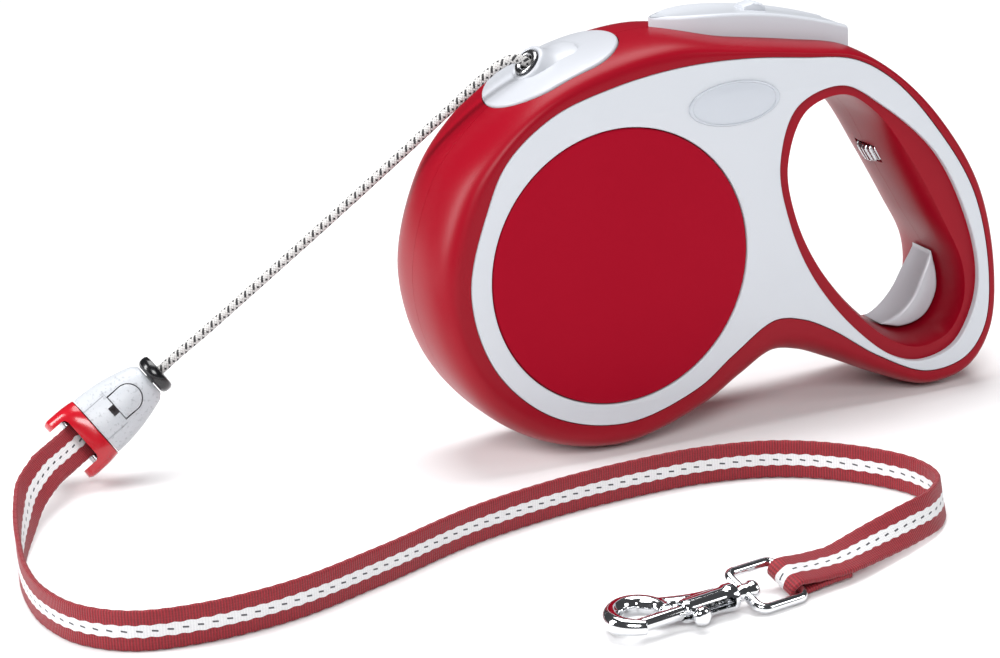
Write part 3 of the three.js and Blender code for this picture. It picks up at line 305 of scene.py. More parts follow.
def tube_uv(faces, count, lengths):
    """Around in the first coordinate, metres along in the second, with a clean seam."""
    uv = []
    for face in faces:
        if len(face) > 4:
            uv.append([(0, 0)] * len(face))
            continue
        columns = [v % count for v in face]
        wraps = max(columns) - min(columns) > 1
        turns = [(c + count if wraps and c == 0 else c) / count for c in columns]
        uv.append([(turn, lengths[v // count]) for turn, v in zip(turns, face)])
    return uv


cord_line, _ = evenly(smooth_line(CORD_ROUTE), 0.4 * MM)
cord_rings, cord_lengths = sweep(cord_line, braided)
points, faces = rings_to_faces(cord_rings)
cord = piece("braided_cord", points, faces, "case", 60, tube_uv(faces, CORD_SIDES, cord_lengths))
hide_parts("cord")
print("cord length, mm:", round(cord_lengths[-1] * 1000, 1))

# %% [markdown]
# ## The strap
# The strap is one length of ribbed webbing. Its first end goes round the coupler's pin and is sewn back on
# itself, and its last end does the same round the bar of the swivel eye. In between it stands on its edge.
# Each chosen point carries the direction of the strap's width, so the ribbon can lean over towards the hook.

# %% Where the coupler and the hook lie
coupler_place = frame_at(mm(-171, 42.5, 32), (-0.819, 0.064, -0.57), (0.493, -0.429, -0.756))
PIN_X = 31.2 * MM
PIN_RADIUS = 1.6 * MM
pin_centre = coupler_place @ Vector((PIN_X, 0, 0))
pin_axis = (coupler_place.to_3x3() @ Vector((0, 0, 1))).normalized()
hook_place = frame_at(mm(-67, -147.6, 4.5), (-0.985, -0.17, 0), (0, 0, 1))
EYE_SPAN = 16 * MM
EYE_WIRE = 1.5 * MM
EYE_HALF_WIDTH = 8.4 * MM
EYE_LEAN = math.radians(-20)
eye_place = hook_place @ Matrix.Rotation(EYE_LEAN, 4, "X")
far_bar = eye_place @ Vector((-EYE_SPAN, 0, 0))
bar_axis = (eye_place.to_3x3() @ Vector((0, 1, 0))).normalized()
print("pin at", [round(v * 1000, 1) for v in pin_centre], "far bar at", [round(v * 1000, 1) for v in far_bar])

# %% Route of the strap
STRAP_MIDDLE = [
    (-221.5, 16, 11.2, 36), (-227.5, 4, 8.8, 24), (-232.8, -8.5, 6.9, 10), (-237.3, -22.6, 6.1, 0),
    (-241.2, -42, 6.05, 0), (-241.8, -60, 6.05, 0), (-237.3, -77, 6.05, 0), (-226, -89, 6.05, 0),
    (-207.7, -93.6, 6.05, 0), (-180, -91.6, 6.05, 0), (-147, -80.2, 6.05, 0), (-113, -66, 6.05, 0),
    (-82, -58.5, 6.05, 0), (-54.7, -55.9, 6.05, 0), (-30, -56.8, 6.05, 0), (-8, -64, 6.05, 0),
    (9, -79.5, 6.05, 0), (18.6, -97.5, 6.05, 0), (18.4, -113, 6.1, 6), (9.5, -124.5, 6.3, 18),
    (-4, -131.5, 6.4, 34), (-17.5, -136.4, 5.8, 52),
]


def sewn_end(centre, away, wide, bar_radius, length, front):
    """Points of a loop round a bar, from the sewn tail to the strap, which leaves by the front side."""
    away = (away - wide * away.dot(wide)).normalized()
    front = (front - wide * front.dot(wide) - away * front.dot(away)).normalized()
    radius = bar_radius + STRAP_THICKNESS / 2 + 0.15 * MM
    rest = STRAP_THICKNESS / 2 + 0.08 * MM
    nearing = rest + 0.25 * (radius - rest)
    tail = [centre + away * length * reach - front * gap
            for reach, gap in ((1, rest), (0.72, rest), (0.42, nearing))]
    bend = []
    for degrees in range(-100, 101, 25):
        a = math.radians(degrees)
        bend.append(centre - away * radius * math.cos(a) + front * radius * math.sin(a))
    leave = [centre + away * length * reach + front * gap
             for reach, gap in ((0.42, nearing), (0.72, rest), (0.95, rest * 0.8))]
    return [(p, wide) for p in tail + bend + leave]


def leaning(x, y, z, degrees, heading):
    level = Vector((heading.y, -heading.x, 0)).normalized()
    lean = math.radians(degrees)
    return Vector((x, y, z)) * MM, Vector((0, 0, 1)) * math.cos(lean) + level * math.sin(lean)


middle = []
for i, (x, y, z, degrees) in enumerate(STRAP_MIDDLE):
    before, after = STRAP_MIDDLE[max(i - 1, 0)], STRAP_MIDDLE[min(i + 1, len(STRAP_MIDDLE) - 1)]
    heading = Vector((after[0] - before[0], after[1] - before[1], 0))
    middle.append(leaning(x, y, z, degrees, heading))
towards_viewer = Vector((-0.39, -0.87, 0.31))
from_pin = Vector((-0.69, -0.72, -0.04))
first_end = sewn_end(pin_centre, from_pin, -pin_axis, PIN_RADIUS, 24 * MM, towards_viewer)
hook_width = bar_axis if bar_axis.z > 0 else -bar_axis
from_hook = -(hook_place.to_3x3() @ Vector((1, 0, 0)))
last_end = sewn_end(far_bar, from_hook, hook_width, EYE_WIRE, 19 * MM, Vector((0, 0, 1)))
strap_points = first_end + middle + last_end[::-1]
print("strap is drawn through", len(strap_points), "points")

# %% Strap mesh
packed = np.array([[*p, *w] for p, w in strap_points])
strap_line, strap_lengths = evenly(smooth_line(packed, per_span=16), 0.8 * MM)


def webbing_section():
    """Across and through the webbing, once around, with soft woven edges."""
    half, thick = STRAP_WIDTH / 2, STRAP_THICKNESS / 2
    edge = 0.55 * MM
    top = [(x, thick) for x in np.linspace(-half + edge, half - edge, 13)]
    bend = (math.pi / 4, math.pi / 2, 3 * math.pi / 4)
    right = [(half - edge + edge * math.sin(a), thick * math.cos(a)) for a in bend]
    return top + right + [(x, -y) for x, y in top[::-1]] + [(-x, -y) for x, y in right]


section = webbing_section()
rings = []
ahead = np.gradient(strap_line[:, :3], axis=0)
for k in range(len(strap_line)):
    centre = Vector(strap_line[k, :3])
    tangent = Vector(ahead[k]).normalized()
    wide = Vector(strap_line[k, 3:6])
    wide = (wide - tangent * wide.dot(tangent)).normalized()
    through = wide.cross(tangent)
    ripple = 1 + 0.012 * math.sin(2 * math.pi * strap_lengths[k] / (4.2 * MM))
    rings.append([centre + wide * x * ripple + through * y for x, y in section])
points, faces = rings_to_faces(rings)
count = len(section)
strap_uv = [
    [(0.5 + section[v % count][0] / STRAP_WIDTH, strap_lengths[v // count]) for v in face] for face in faces
]
strap = piece("webbing_strap", points, faces, "case", 50, strap_uv)
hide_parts("strap", "fork_loop", "hook_loop")
print("strap length, mm:", round(strap_lengths[-1] * 1000, 1))

# %% [markdown]
# ## The outlines of the case
# The case is drawn by two outlines: the parting line, where its two halves meet, and the edge of its flat
# face. Between them the rim is rounded like a superellipse, fuller than a circle. The hand opening is drawn
# in the same way. The points are measured from the reel axis in X and from the ground in Z.

# %% Outlines
def body_station(degrees):
    """The parting line's and the face's points on the round body, in millimetres."""
    a = math.radians(degrees)
    radii = (BODY_RADIUS / MM, FACE_RADIUS / MM)
    return [(r * math.cos(a), BODY_RADIUS / MM + r * math.sin(a)) for r in radii]


CASE_STATIONS = [body_station(degrees) for degrees in (150, 180, 210, 240, 270, 300)] + [
    [(43.8, 15.2), (38.8, 26)], [(55.8, 20.7), (53.6, 34.6)], [(66.8, 19.2), (63.5, 33.3)],
    [(79.8, 13.8), (74.3, 28)], [(95.8, 6.2), (91.8, 16)], [(112.5, 0.2), (110.5, 7.5)],
    [(128, 3.5), (125.1, 10)], [(136.8, 16), (132.4, 19.5)], [(138.6, 38), (133.8, 38.8)],
    [(132.6, 67.8), (128, 65.9)], [(117.8, 92.7), (113.6, 89.7)], [(100.8, 109.5), (98.1, 107.1)],
    [(85.8, 118.3), (83.8, 115.8)], [(66.8, 122.5), (65.8, 118.8)], [(43.8, 126.5), (44.3, 121.4)],
    [(21.8, 130.5), (21.8, 121.6)], [(-0.2, 128), (-0.8, 118.6)], [(-22.2, 120.3), (-21.6, 112.4)],
    [(-40, 107.6), (-37.2, 100.6)],
]
OPENING_STATIONS = [
    [(62.5, 84), (56.7, 85.5)], [(64.5, 68), (59.7, 66.5)], [(72.5, 50.5), (67.7, 47.3)],
    [(86, 33), (81.9, 28.3)], [(99.5, 21.5), (97.6, 15)], [(109.5, 18), (108.9, 11.6)],
    [(118.5, 20.5), (120.8, 15)], [(123.5, 28.5), (128.1, 26.8)], [(122.5, 41), (129.6, 39.5)],
    [(112.8, 58), (125, 58.6)], [(102, 77), (113.6, 80.8)], [(91.5, 96), (94.5, 98.8)],
    [(82, 102.5), (79.1, 107.8)], [(69.5, 99.5), (63, 103)],
]
FACE_LIP = 0.22  # share of the rim's width left flat around the trim
RIM_POWER = 2.5


def outline(stations, which, steps):
    """A closed outline in X and Z, metres, through the stations' points."""
    drawn = [(x * MM + REEL.x, 0, z * MM) for x, z in (s[which] for s in stations)]
    line = smooth_line(drawn, closed=True, per_span=30)
    position = np.linspace(0, len(line), steps, endpoint=False)
    wrapped = np.vstack([line, line[:1]])
    index = np.arange(len(wrapped))
    return np.column_stack([np.interp(position, index, wrapped[:, k]) for k in (0, 2)])


CASE = (outline(CASE_STATIONS, 0, 300), outline(CASE_STATIONS, 1, 300))
OPENING = (outline(OPENING_STATIONS, 0, 224), outline(OPENING_STATIONS, 1, 224))


def inset(flat, distance):
    """Moves an outline sideways, inwards when it runs anticlockwise."""
    along = np.roll(flat, -1, axis=0) - np.roll(flat, 1, axis=0)
    along /= np.linalg.norm(along, axis=1)[:, None]
    return flat + distance * np.column_stack([-along[:, 1], along[:, 0]])


def rim(outlines, share):
    """The outline at a share of the way out from the parting plane to the face."""
    crown = FACE_LIP + (1 - FACE_LIP) * (1 - share**RIM_POWER) ** (1 / RIM_POWER)
    return outlines[1] + crown * (outlines[0] - outlines[1])


def at_depth(flat, y):
    return [Vector((x, y, z)) for x, z in flat]


RIM_SHARES = [0, 0.15, 0.3, 0.45, 0.58, 0.69, 0.78, 0.85, 0.9, 0.94, 0.967, 0.985, 0.996, 1]
print("case outline:", len(CASE[0]), "points, opening:", len(OPENING[0]))

# %% [markdown]
# ## The two shells
# Each shell is a bowl: the rounded rim outside, a wall's thickness inside, a recess for the trim on its face,
# and openings for the hand, the brake button, the cord outlet and the grip's adjuster. The bowl is lofted as
# closed solids, and the openings are cut with booleans, exactly as a toolmaker would cut the mould.


# %% Shell helpers
def rounded_body(outlines, side, depth, start=0.0, shrink=0.0, past=0.0):
    """A rounded solid on one side of the parting plane: side is -1 for the near half, 1 for the far half."""
    rings = []
    for k, share in enumerate(RIM_SHARES):
        y = start if k == 0 else share * depth
        rings.append(at_depth(inset(rim(outlines, share), shrink), side * y))
    if past:
        rings.append(at_depth(inset(rim(outlines, 1), shrink), side * (depth + past)))
    return rings_to_faces(rings)


def prism(flat, low, high, matrix=None):
    """A straight solid on a flat outline in X and Z, from one depth to another."""
    rings = [at_depth(flat, low), at_depth(flat, high)]
    points, faces = rings_to_faces(rings)
    return (moved(points, matrix) if matrix else points), faces


def circle(radius, steps=96, centre=(0.0, 0.0)):
    a = full_turn(steps)
    return np.column_stack([centre[0] + radius * np.cos(a), centre[1] + radius * np.sin(a)])


# %% Where the outlet, the button and the adjuster sit
OUTLET = Vector((-12.5, 0, 123.4)) * MM + Vector((REEL.x, 0, 0))
OUTLET_TILT = math.radians(20)
OUTLET_LENGTH, OUTLET_WIDTH = 46 * MM, 34 * MM
EYE = Vector((REEL.x - 19.5 * MM, 0, 124.6 * MM))
EYE_AXIS = Vector((-0.75, -0.1, 0.65)).normalized()
BUTTON_FRONT = Vector((REEL.x + 22.5 * MM, 0, 133.4 * MM))
BUTTON_CREST = Vector((REEL.x + 41 * MM, 0, 134.4 * MM))
BUTTON_REAR = Vector((REEL.x + 88.8 * MM, 0, 123.6 * MM))
BUTTON_HALF_WIDTH = 9.5 * MM
GRIP_UP = Vector((-0.5, 0, 0.866)).normalized()
GRIP_IN = Vector((-GRIP_UP.z, 0, GRIP_UP.x))
WHEEL_RADIUS, WHEEL_THICKNESS = 8 * MM, 6 * MM
WHEEL = Vector((REEL.x + 101.2 * MM, 0, 78.6 * MM)) + GRIP_IN * (2 * MM - WHEEL_RADIUS)
outlet_place = Matrix.Translation(OUTLET) @ Matrix.Rotation(-OUTLET_TILT, 4, "Y")
wheel_place = frame_at(WHEEL, GRIP_UP, (0, 1, 0))


def stadium(length, width, grow=0.0, steps=96):
    """A long oval, anticlockwise, in its own flat X and Y."""
    radius = width / 2 + grow
    straight = (length - width) / 2
    half = steps // 2
    bend = np.linspace(-math.pi / 2, math.pi / 2, half)
    right = [(straight + radius * math.cos(a), radius * math.sin(a)) for a in bend]
    return np.array(right + [(-x, -y) for x, y in right])


def button_half_width(x):
    """Half the button's width at a place along the case: a pointed bow, then straight sides."""
    along = (x - BUTTON_FRONT.x) / (22 * MM)
    if along >= 1:
        return BUTTON_HALF_WIDTH
    return BUTTON_HALF_WIDTH * (1 - (1 - max(along, 0)) ** 2.1) ** 0.8


def button_top(x):
    """Height of the button's top above the ground at a place along the case."""
    share = min(max((x - BUTTON_FRONT.x) / (BUTTON_REAR.x - BUTTON_FRONT.x), 0), 1)
    peak = BUTTON_CREST.z + 1.2 * MM
    return (1 - share) ** 2 * BUTTON_FRONT.z + 2 * share * (1 - share) * peak + share**2 * BUTTON_REAR.z


def button_plan(grow, steps=40):
    xs = BUTTON_FRONT.x - grow + (BUTTON_REAR.x - BUTTON_FRONT.x + 2 * grow) * np.linspace(0, 1, steps) ** 1.6
    near = [(x, -button_half_width(x) - grow) for x in xs[1:]]
    return np.array([(xs[0], 0)] + near + [(x, -y) for x, y in near[::-1]])


# %% Cutting the shells
def shell(name, side):
    outer = [at_depth(rim(CASE, s), side * max(s * HALF, 0.05 * MM)) for s in RIM_SHARES]
    lip = inset(CASE[1], -FIT / 3)
    outer += [at_depth(lip, side * HALF), at_depth(lip, side * PLATE_OUT)]
    points, faces = rings_to_faces(outer)
    made = piece(name, points, faces, "case", 30)
    inner = cutter(*rounded_body(CASE, side, PLATE_IN, start=-1 * MM, shrink=WALL))
    around_hand = cutter(*rounded_body(OPENING, side, HALF, start=-2 * MM, shrink=-WALL, past=2 * MM))
    combine(made, combine(inner, around_hand, "DIFFERENCE"), "DIFFERENCE")
    cut(made, *rounded_body(OPENING, side, HALF, start=-1 * MM, past=2 * MM))
    stand = Matrix.Rotation(math.pi / 2, 4, "X")
    flat = stadium(OUTLET_LENGTH, OUTLET_WIDTH, 0.25 * MM)
    cut(made, *prism(flat, -20 * MM, 20 * MM, outlet_place @ stand))
    cut(made, *prism(button_plan(0.35 * MM), -200 * MM, -REEL.z - 45 * MM, stand))
    depth = WHEEL_THICKNESS / 2 + RUN
    points, faces = rod(-depth, depth, WHEEL_RADIUS + RUN, 64)
    cut(made, moved(points, wheel_place), faces)
    ground = np.array([(-300, -30), (300, -30), (300, 0), (-300, 0)]) * MM
    cut(made, *prism(ground, -60 * MM, 60 * MM))
    tidy(made, 30)
    return made


near_shell = shell("near_case_half", -1)
far_shell = shell("far_case_half", 1)
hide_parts("near_shell")
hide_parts("far_shell")
print("near shell has", len(near_shell.data.polygons), "faces")

# %% [markdown]
# ## Trim, side covers and badge
# The grey trim is a flat moulding with a softly rounded edge that sits in the face's recess. Its outline has
# two holes, for the round side cover and for the hand. The rounded edge is a few rings; the flat faces
# between the three edges are filled with triangles.


# %% Trim
def flat_moulding(name, borders, back, front, radius, body):
    """A plate with holes: the first border is the outside, anticlockwise, and the others are holes."""
    points, faces, back_loops, front_loops = [], [], [], []
    sign = 1 if front > back else -1
    for k, border in enumerate(borders):
        inward = 1 if k == 0 else -1
        profile = [(0, back)]
        profile += [(d, front - sign * h) for d, h in rounded_corner(radius)]
        start = len(points)
        for d, y in profile:
            points += at_depth(inset(border, inward * d), y)
        count = len(border)
        for level in range(len(profile) - 1):
            low, high = start + level * count, start + (level + 1) * count
            for i in range(count):
                j = (i + 1) % count
                faces.append((low + i, low + j, high + j, high + i))
        back_loops.append(range(start, start + count))
        front_loops.append(range(start + (len(profile) - 1) * count, start + len(profile) * count))
    for loops in (back_loops, front_loops):
        numbers = [i for loop in loops for i in loop]
        flat = [[Vector((points[i].x, points[i].z, 0)) for i in loop] for loop in loops]
        faces += [tuple(numbers[i] for i in triangle) for triangle in tessellate_polygon(flat)]
    return piece(name, points, faces, body, 28)


for side, name in ((-1, "near"), (1, "far")):
    borders = [
        inset(CASE[1], FIT / 3),
        circle(DISC_RADIUS + 0.22 * MM, 180, (REEL.x, REEL.z)),
        inset(OPENING[1], -FIT / 3),
    ]
    back, front = side * (PLATE_OUT + 0.05 * MM), side * (HALF + 0.2 * MM)
    made = flat_moulding(name + "_face_trim", borders, back, front, 0.55 * MM, "case")
    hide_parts(name + "_trim")
print("trim done:", len(made.data.polygons), "faces")

# %% [markdown]
# The side cover is a turned disc with a rounded edge and a hardly visible crown. The badge is an oval plate
# with a raised border; it carries no mark.


# %% Side covers and badges
def turned_on_side(name, profile, place, side, body, steps=160, stretch=(1, 1)):
    """A turned piece that faces out of one side of the case; profile is (outwards, radius)."""
    points, faces = revolve(profile, steps)
    squeeze = Matrix.Diagonal((1, stretch[0], stretch[1], 1))
    aim = Matrix.Translation(place) @ frame_at((0, 0, 0), (0, side, 0), (0, 0, 1)) @ squeeze
    return piece(name, moved(points, aim), faces, body, 28)


COVER_BACK, COVER_FACE, COVER_RADIUS = PLATE_OUT + 0.05 * MM, HALF + 0.1 * MM, DISC_RADIUS - 0.1 * MM
COVER_CROWN = 0.25 * MM
BADGE_BACK = HALF + 0.25 * MM
BADGE = [(0, 0), (0, 16), (0.35, 16), (0.62, 15.75), (0.7, 15.3), (0.62, 14.85), (0.3, 14.6), (0.3, 14.2),
         (0.55, 11), (0.68, 6), (0.72, 0)]
for side, name in ((-1, "near"), (1, "far")):
    profile = [(COVER_BACK, 0), (COVER_BACK, COVER_RADIUS)]
    profile += [(COVER_FACE - down, COVER_RADIUS - across) for across, down in rounded_corner(0.6 * MM)]
    profile += [(COVER_FACE + COVER_CROWN * (1 - (r / 43) ** 2), r * MM) for r in (40, 32, 24, 16, 8, 0)]
    made = turned_on_side(name + "_side_cover", profile, (REEL.x, 0, REEL.z), side, "case")
    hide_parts(name + "_disc")
    profile = [(BADGE_BACK + x * MM, r * MM) for x, r in BADGE]
    place = Vector((REEL.x + 40.5 * MM, 0, 107.9 * MM))
    made = turned_on_side(name + "_oval_badge", profile, place, side, "case", 120, (1, 7 / 16))
    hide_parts(name + "_badge")

# %% [markdown]
# ## The cord outlet
# The outlet is a long oval insert let into the shoulder of the case. It follows the rim's surface, a little
# proud of it, with a rounded edge. Rings of points in the oval's plan are dropped onto the finished rim with
# a ray each, which is how a surface can be laid on another one whatever its curves are. A boss flares up out
# of it to carry the metal eyelet.

# %% A surface to lay pieces on
rim_points, rim_faces = [], []
for side in (-1, 1):
    p, f = rings_to_faces([at_depth(rim(CASE, s), side * s * HALF) for s in RIM_SHARES])
    rim_faces += [tuple(i + len(rim_points) for i in face) for face in f]
    rim_points += p
rim_surface = BVHTree.FromPolygons(rim_points, rim_faces)


def laid_on(surface, plan, place, proud, sink, radius, levels=14, crown=0.0):
    """Rings of a raised patch over a surface. plan is the outline in the place's X and Y; Z points out."""
    out = (place.to_3x3() @ Vector((0, 0, 1))).normalized()
    size = np.abs(plan).max()
    steps = [(k / levels) ** 0.8 * (1 - radius / size) for k in range(1, levels + 1)]
    shares = [(s, 0.0) for s in steps]
    turns = np.linspace(0, math.pi / 2, 6)[1:]
    shares += [(1 - radius * (1 - math.sin(a)) / size, radius * (1 - math.cos(a))) for a in turns]
    rings = []
    for share, down in shares:
        ring = []
        for x, y in plan:
            origin = place @ Vector((x * share, y * share, 0)) + out * 60 * MM
            hit, normal, _, _ = surface.ray_cast(origin, -out)
            if hit is None:
                hit, normal, _, _ = surface.find_nearest(place @ Vector((x * share, y * share, 0)))
            if normal.dot(out) < 0:
                normal = -normal
            ring.append(hit + normal * (proud - down + crown * (1 - share**2)))
        rings.append(ring)
    rings.append([p - out * sink for p in rings[-1]])
    return rings


# %% Outlet insert, boss and eyelet
plan = stadium(OUTLET_LENGTH, OUTLET_WIDTH, steps=120)
points, faces = rings_to_faces(laid_on(rim_surface, plan, outlet_place, 0.75 * MM, 2.2 * MM, 0.8 * MM, 18))
outlet = piece("cord_outlet_insert", points, faces, "case", 40)
eye_frame = frame_at(EYE, EYE_AXIS, (0, 1, 0))
BOSS = [(-9, 3), (-9, 13.4), (-7.6, 12.2), (-6.2, 10.2), (-4.8, 8.5), (-3.2, 7.3), (-1.4, 6.6),
        (-0.3, 6.3), (0.35, 5.95), (0.6, 5.5), (0.5, 5), (0.1, 4.6), (-8, 3.9)]
points, faces = turned(BOSS, 96, closed=True)
boss = piece("outlet_boss", moved(points, eye_frame), faces, "case", 50)
EYELET = [(-6, 3.6), (0.1, 3.7), (0.5, 4.2), (0.95, 4.35), (1.3, 3.9), (1.4, 3.3), (1.15, 2.7),
          (0.6, 2.3), (-0.4, 2.1), (-6, 2.1)]
points, faces = turned(EYELET, 80, closed=True)
eyelet = piece("outlet_eye_ring", moved(points, eye_frame), faces, "case", 50)
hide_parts("cord_outlet")
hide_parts("outlet_eyelet")

# %% [markdown]
# ## The brake button and its lock
# The button is a long plate with a pointed bow, a gently falling top and tall sides. It is lofted from
# cross-sections along the case; each one is a box with a small top radius, and the last few draw in to round
# the rear edge. A shallow panel line runs around its top.

# %% Brake button
BUTTON_DEEP = 12.5 * MM


def button_section(x, draw_in):
    half = max(button_half_width(x) - draw_in, 0.15 * MM)
    top = button_top(x) - draw_in
    low = button_top(x) - BUTTON_DEEP + 1.5 * MM
    radius = min(1.1 * MM, half * 0.9)
    side = [(half - across, top - down) for across, down in rounded_corner(radius, 5)]
    if half > 4 * MM:
        panel = [(half * 0.78, top), (half * 0.7, top - 0.28 * MM), (0, top - 0.16 * MM)]
    else:
        panel = [(half * 0.78, top), (half * 0.5, top), (0, top)]
    right = [(half, low)] + side + panel
    left = [(-y, z) for y, z in right[-2::-1]]
    return [Vector((x, y, z)) for y, z in right + left]


BRAKE_LENGTH = BUTTON_REAR.x - BUTTON_FRONT.x
REAR_EDGE = ((0.75, 0.02), (0.45, 0.12), (0.2, 0.3), (0.04, 0.55), (0, 0.8))
stations = [BUTTON_FRONT.x + BRAKE_LENGTH * s**1.35 for s in np.linspace(0.002, 0.985, 64)]
rings = [button_section(x, 0) for x in stations]
rings += [button_section(BUTTON_REAR.x - left * MM, draw_in * MM) for left, draw_in in REAR_EDGE]
points, faces = rings_to_faces(rings)
button = piece("brake_plate", points, faces, "brake", 36)
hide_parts("brake_button")

# %% Lock slider
top_line = Vector((BUTTON_REAR.x - BUTTON_CREST.x, 0, BUTTON_REAR.z - BUTTON_CREST.z)).normalized()
lock_low, lock_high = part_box("lock_slider")
lock_middle = (Vector(lock_low) + Vector(lock_high)) / 2
lock_place = frame_at(lock_middle, top_line, (0, 0, 1))
LOCK_SHAPE = [(-4, -1.6), (4, -1.6), (4, 0.9), (3.7, 1.5), (2.4, 2.35), (1.6, 2.05), (0.9, 2.5), (0.1, 2.1),
              (-0.6, 2.45), (-1.5, 1.9), (-3.3, 1.2), (-4, 0.8)]
rings = []
for y, draw_in in ((-3, 0.5), (-2.85, 0.2), (-2.5, 0.0), (2.5, 0.0), (2.85, 0.2), (3, 0.5)):
    ring = [(x * (1 - draw_in / 8), y, z - draw_in * (0.6 if z > 0 else 0)) for x, z in LOCK_SHAPE]
    rings.append([mm(*point) for point in ring])
points, faces = rings_to_faces(rings)
lock = piece("brake_lock_slide", moved(points, lock_place), faces, "lock", 40)
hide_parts("lock_slider")
print("button:", len(button.data.polygons), "faces")

# %% [markdown]
# ## The grip's pad and its adjusting wheel
# The pad is a crescent with a hollow face that fits the little finger. The wheel is a plated disc with
# rounded ribs, and only its edge comes through the grip.

# %% Grip pad
PAD_OUTER = [(121.6, 42.6), (123, 35.5), (122.6, 28.7), (118, 21.3), (109.5, 18.9), (102.5, 20.6)]
PAD_INNER = [(102.5, 20.6), (108.5, 23.4), (113.6, 28.2), (117.2, 34.5), (121.6, 42.6)]
PAD_HALF_WIDTH = 7.2 * MM
PAD_STEPS = 44


def pad_side(drawn):
    """Points along one side of the crescent, in X and Z."""
    line = smooth_line([(REEL.x + x * MM, 0, z * MM) for x, z in drawn], per_span=16)
    place = np.linspace(0, len(line) - 1, PAD_STEPS)
    return np.column_stack([np.interp(place, np.arange(len(line)), line[:, k]) for k in (0, 2)])


def pad_section(wall_point, hand_point, share):
    """A rounded bar across the grip, from the wall's side to the hand's, which is a little hollow."""
    taper = math.sin(math.pi * min(max(share, 0.02), 0.98)) ** 0.35
    half = PAD_HALF_WIDTH * (0.62 + 0.38 * taper)
    wall = Vector((wall_point[0], 0, wall_point[1]))
    through = Vector((hand_point[0], 0, hand_point[1])) - wall
    thick = max(through.length, 0.6 * MM)
    inward = through.normalized() if through.length > 0.05 * MM else Vector((-0.8, 0, 0.6))
    corner = min(1.1 * MM, thick * 0.45)
    flat = half - corner
    hollow = 0.35 * MM * min(thick / (3 * MM), 1)
    quarter = np.linspace(0, math.pi / 2, 5)
    front = [(y * flat, thick - hollow * (1 - y * y)) for y in np.linspace(-1, 1, 15)]
    right = [(flat + corner * math.sin(a), thick - corner * (1 - math.cos(a))) for a in quarter[1:]]
    right += [(flat + corner * math.cos(a), corner * (1 - math.sin(a))) for a in quarter]
    back = [(y * flat, 0) for y in np.linspace(1, -1, 9)[1:-1]]
    left = [(-y, depth) for y, depth in right[::-1]]
    return [wall + inward * depth + Vector((0, y, 0)) for y, depth in front + right + back + left]


wall_side, hand_side = pad_side(PAD_OUTER), pad_side(PAD_INNER[::-1])
pad_rings = [pad_section(wall_side[k], hand_side[k], k / (PAD_STEPS - 1)) for k in range(PAD_STEPS)]
points, faces = rings_to_faces(pad_rings)
pad = piece("little_finger_pad", points, faces, "pad", 40)
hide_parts("grip_pad")

# %% Adjusting wheel
RIBS = 22
WHEEL_EDGE = ((-3, 0.9), (-2.7, 0.35), (-2.2, 0), (2.2, 0), (2.7, 0.35), (3, 0.9))
wheel_rings = []
for x, less in WHEEL_EDGE:
    ring = []
    for a in full_turn(RIBS * 10):
        rib = abs(math.sin(RIBS * a / 2)) ** 0.6
        radius = WHEEL_RADIUS - (0.75 * (1 - rib) + less) * MM
        ring.append(Vector((x * MM, radius * math.cos(a), radius * math.sin(a))))
    wheel_rings.append(ring)
points, faces = rings_to_faces(wheel_rings)
wheel = piece("grip_wheel", moved(points, wheel_place), faces, "adjuster", 30)
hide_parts("adjuster_wheel")

# %% [markdown]
# ## The coupler
# A small bullet-shaped housing carries a push button and ends in a glossy red fork. The strap goes round the
# fork's pin. All of it is oval in section, and all of it is made in the coupler's own frame: X runs from the
# stopper to the fork, and Z runs along the pin.

# %% Stopper
STOPPER = [(-2.1, 2.1), (-1.7, 3.2), (-1.9, 4.4), (-2.05, 5), (-1.75, 5.9), (-0.9, 6.35), (0, 6.4),
           (0.9, 6.3), (1.75, 5.8), (2.1, 4.9), (2.1, 2.1)]
points, faces = turned(STOPPER, 72, closed=True)
stopper = piece("cord_stopper", moved(points, coupler_place), faces, "case", 40)
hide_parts("stopper")

# %% Housing
HOUSING_START, HOUSING_LENGTH = 2.4 * MM, 22 * MM
HOUSING_NOSE, HOUSING_MOUTH = 6.2 * MM, 10.6 * MM
FLATNESS = 0.76
HOUSING_END = HOUSING_START + HOUSING_LENGTH
FORK_START = HOUSING_END + FIT


def oval(x, half, flatness=FLATNESS, power=2.25, steps=88):
    """A squarish oval across the coupler: half is its half-width along the pin."""
    ring = []
    for a in full_turn(steps):
        c, s = math.cos(a), math.sin(a)
        y = half * flatness * math.copysign(abs(s) ** (2 / power), s)
        z = half * math.copysign(abs(c) ** (2 / power), c)
        ring.append(Vector((x, y, z)))
    return ring


def housing_half(x):
    share = clamp((x - HOUSING_START) / HOUSING_LENGTH)
    return HOUSING_NOSE + (HOUSING_MOUTH - HOUSING_NOSE) * math.sin(share * math.pi / 2) ** 0.85


def inside_housing(wall, levels):
    """The housing's shape, smaller by a wall's thickness, to cut with."""
    places = np.linspace(HOUSING_START + 2 * MM, HOUSING_END + MM, levels)
    return rings_to_faces([oval(x, housing_half(x) - wall) for x in places])


nose = [oval(HOUSING_START + d, housing_half(HOUSING_START) - 1.3 * MM + e, power=2) for d, e in
        ((0, 0), (0.1 * MM, 0.55 * MM), (0.4 * MM, 0.95 * MM), (0.85 * MM, 1.25 * MM))]
barrel = [oval(x, housing_half(x), power=2 + 0.25 * (x - HOUSING_START) / HOUSING_LENGTH)
          for x in np.linspace(HOUSING_START + 1.5 * MM, HOUSING_END, 34)]
points, faces = rings_to_faces(nose + barrel)
housing_surface = BVHTree.FromPolygons(moved(points, coupler_place), faces)
housing = piece("coupler_housing", points, faces, "case", 36)
cut(housing, *inside_housing(1.6 * MM, 10))
cut(housing, *rod(0, 8 * MM, 2 * MM, 40))

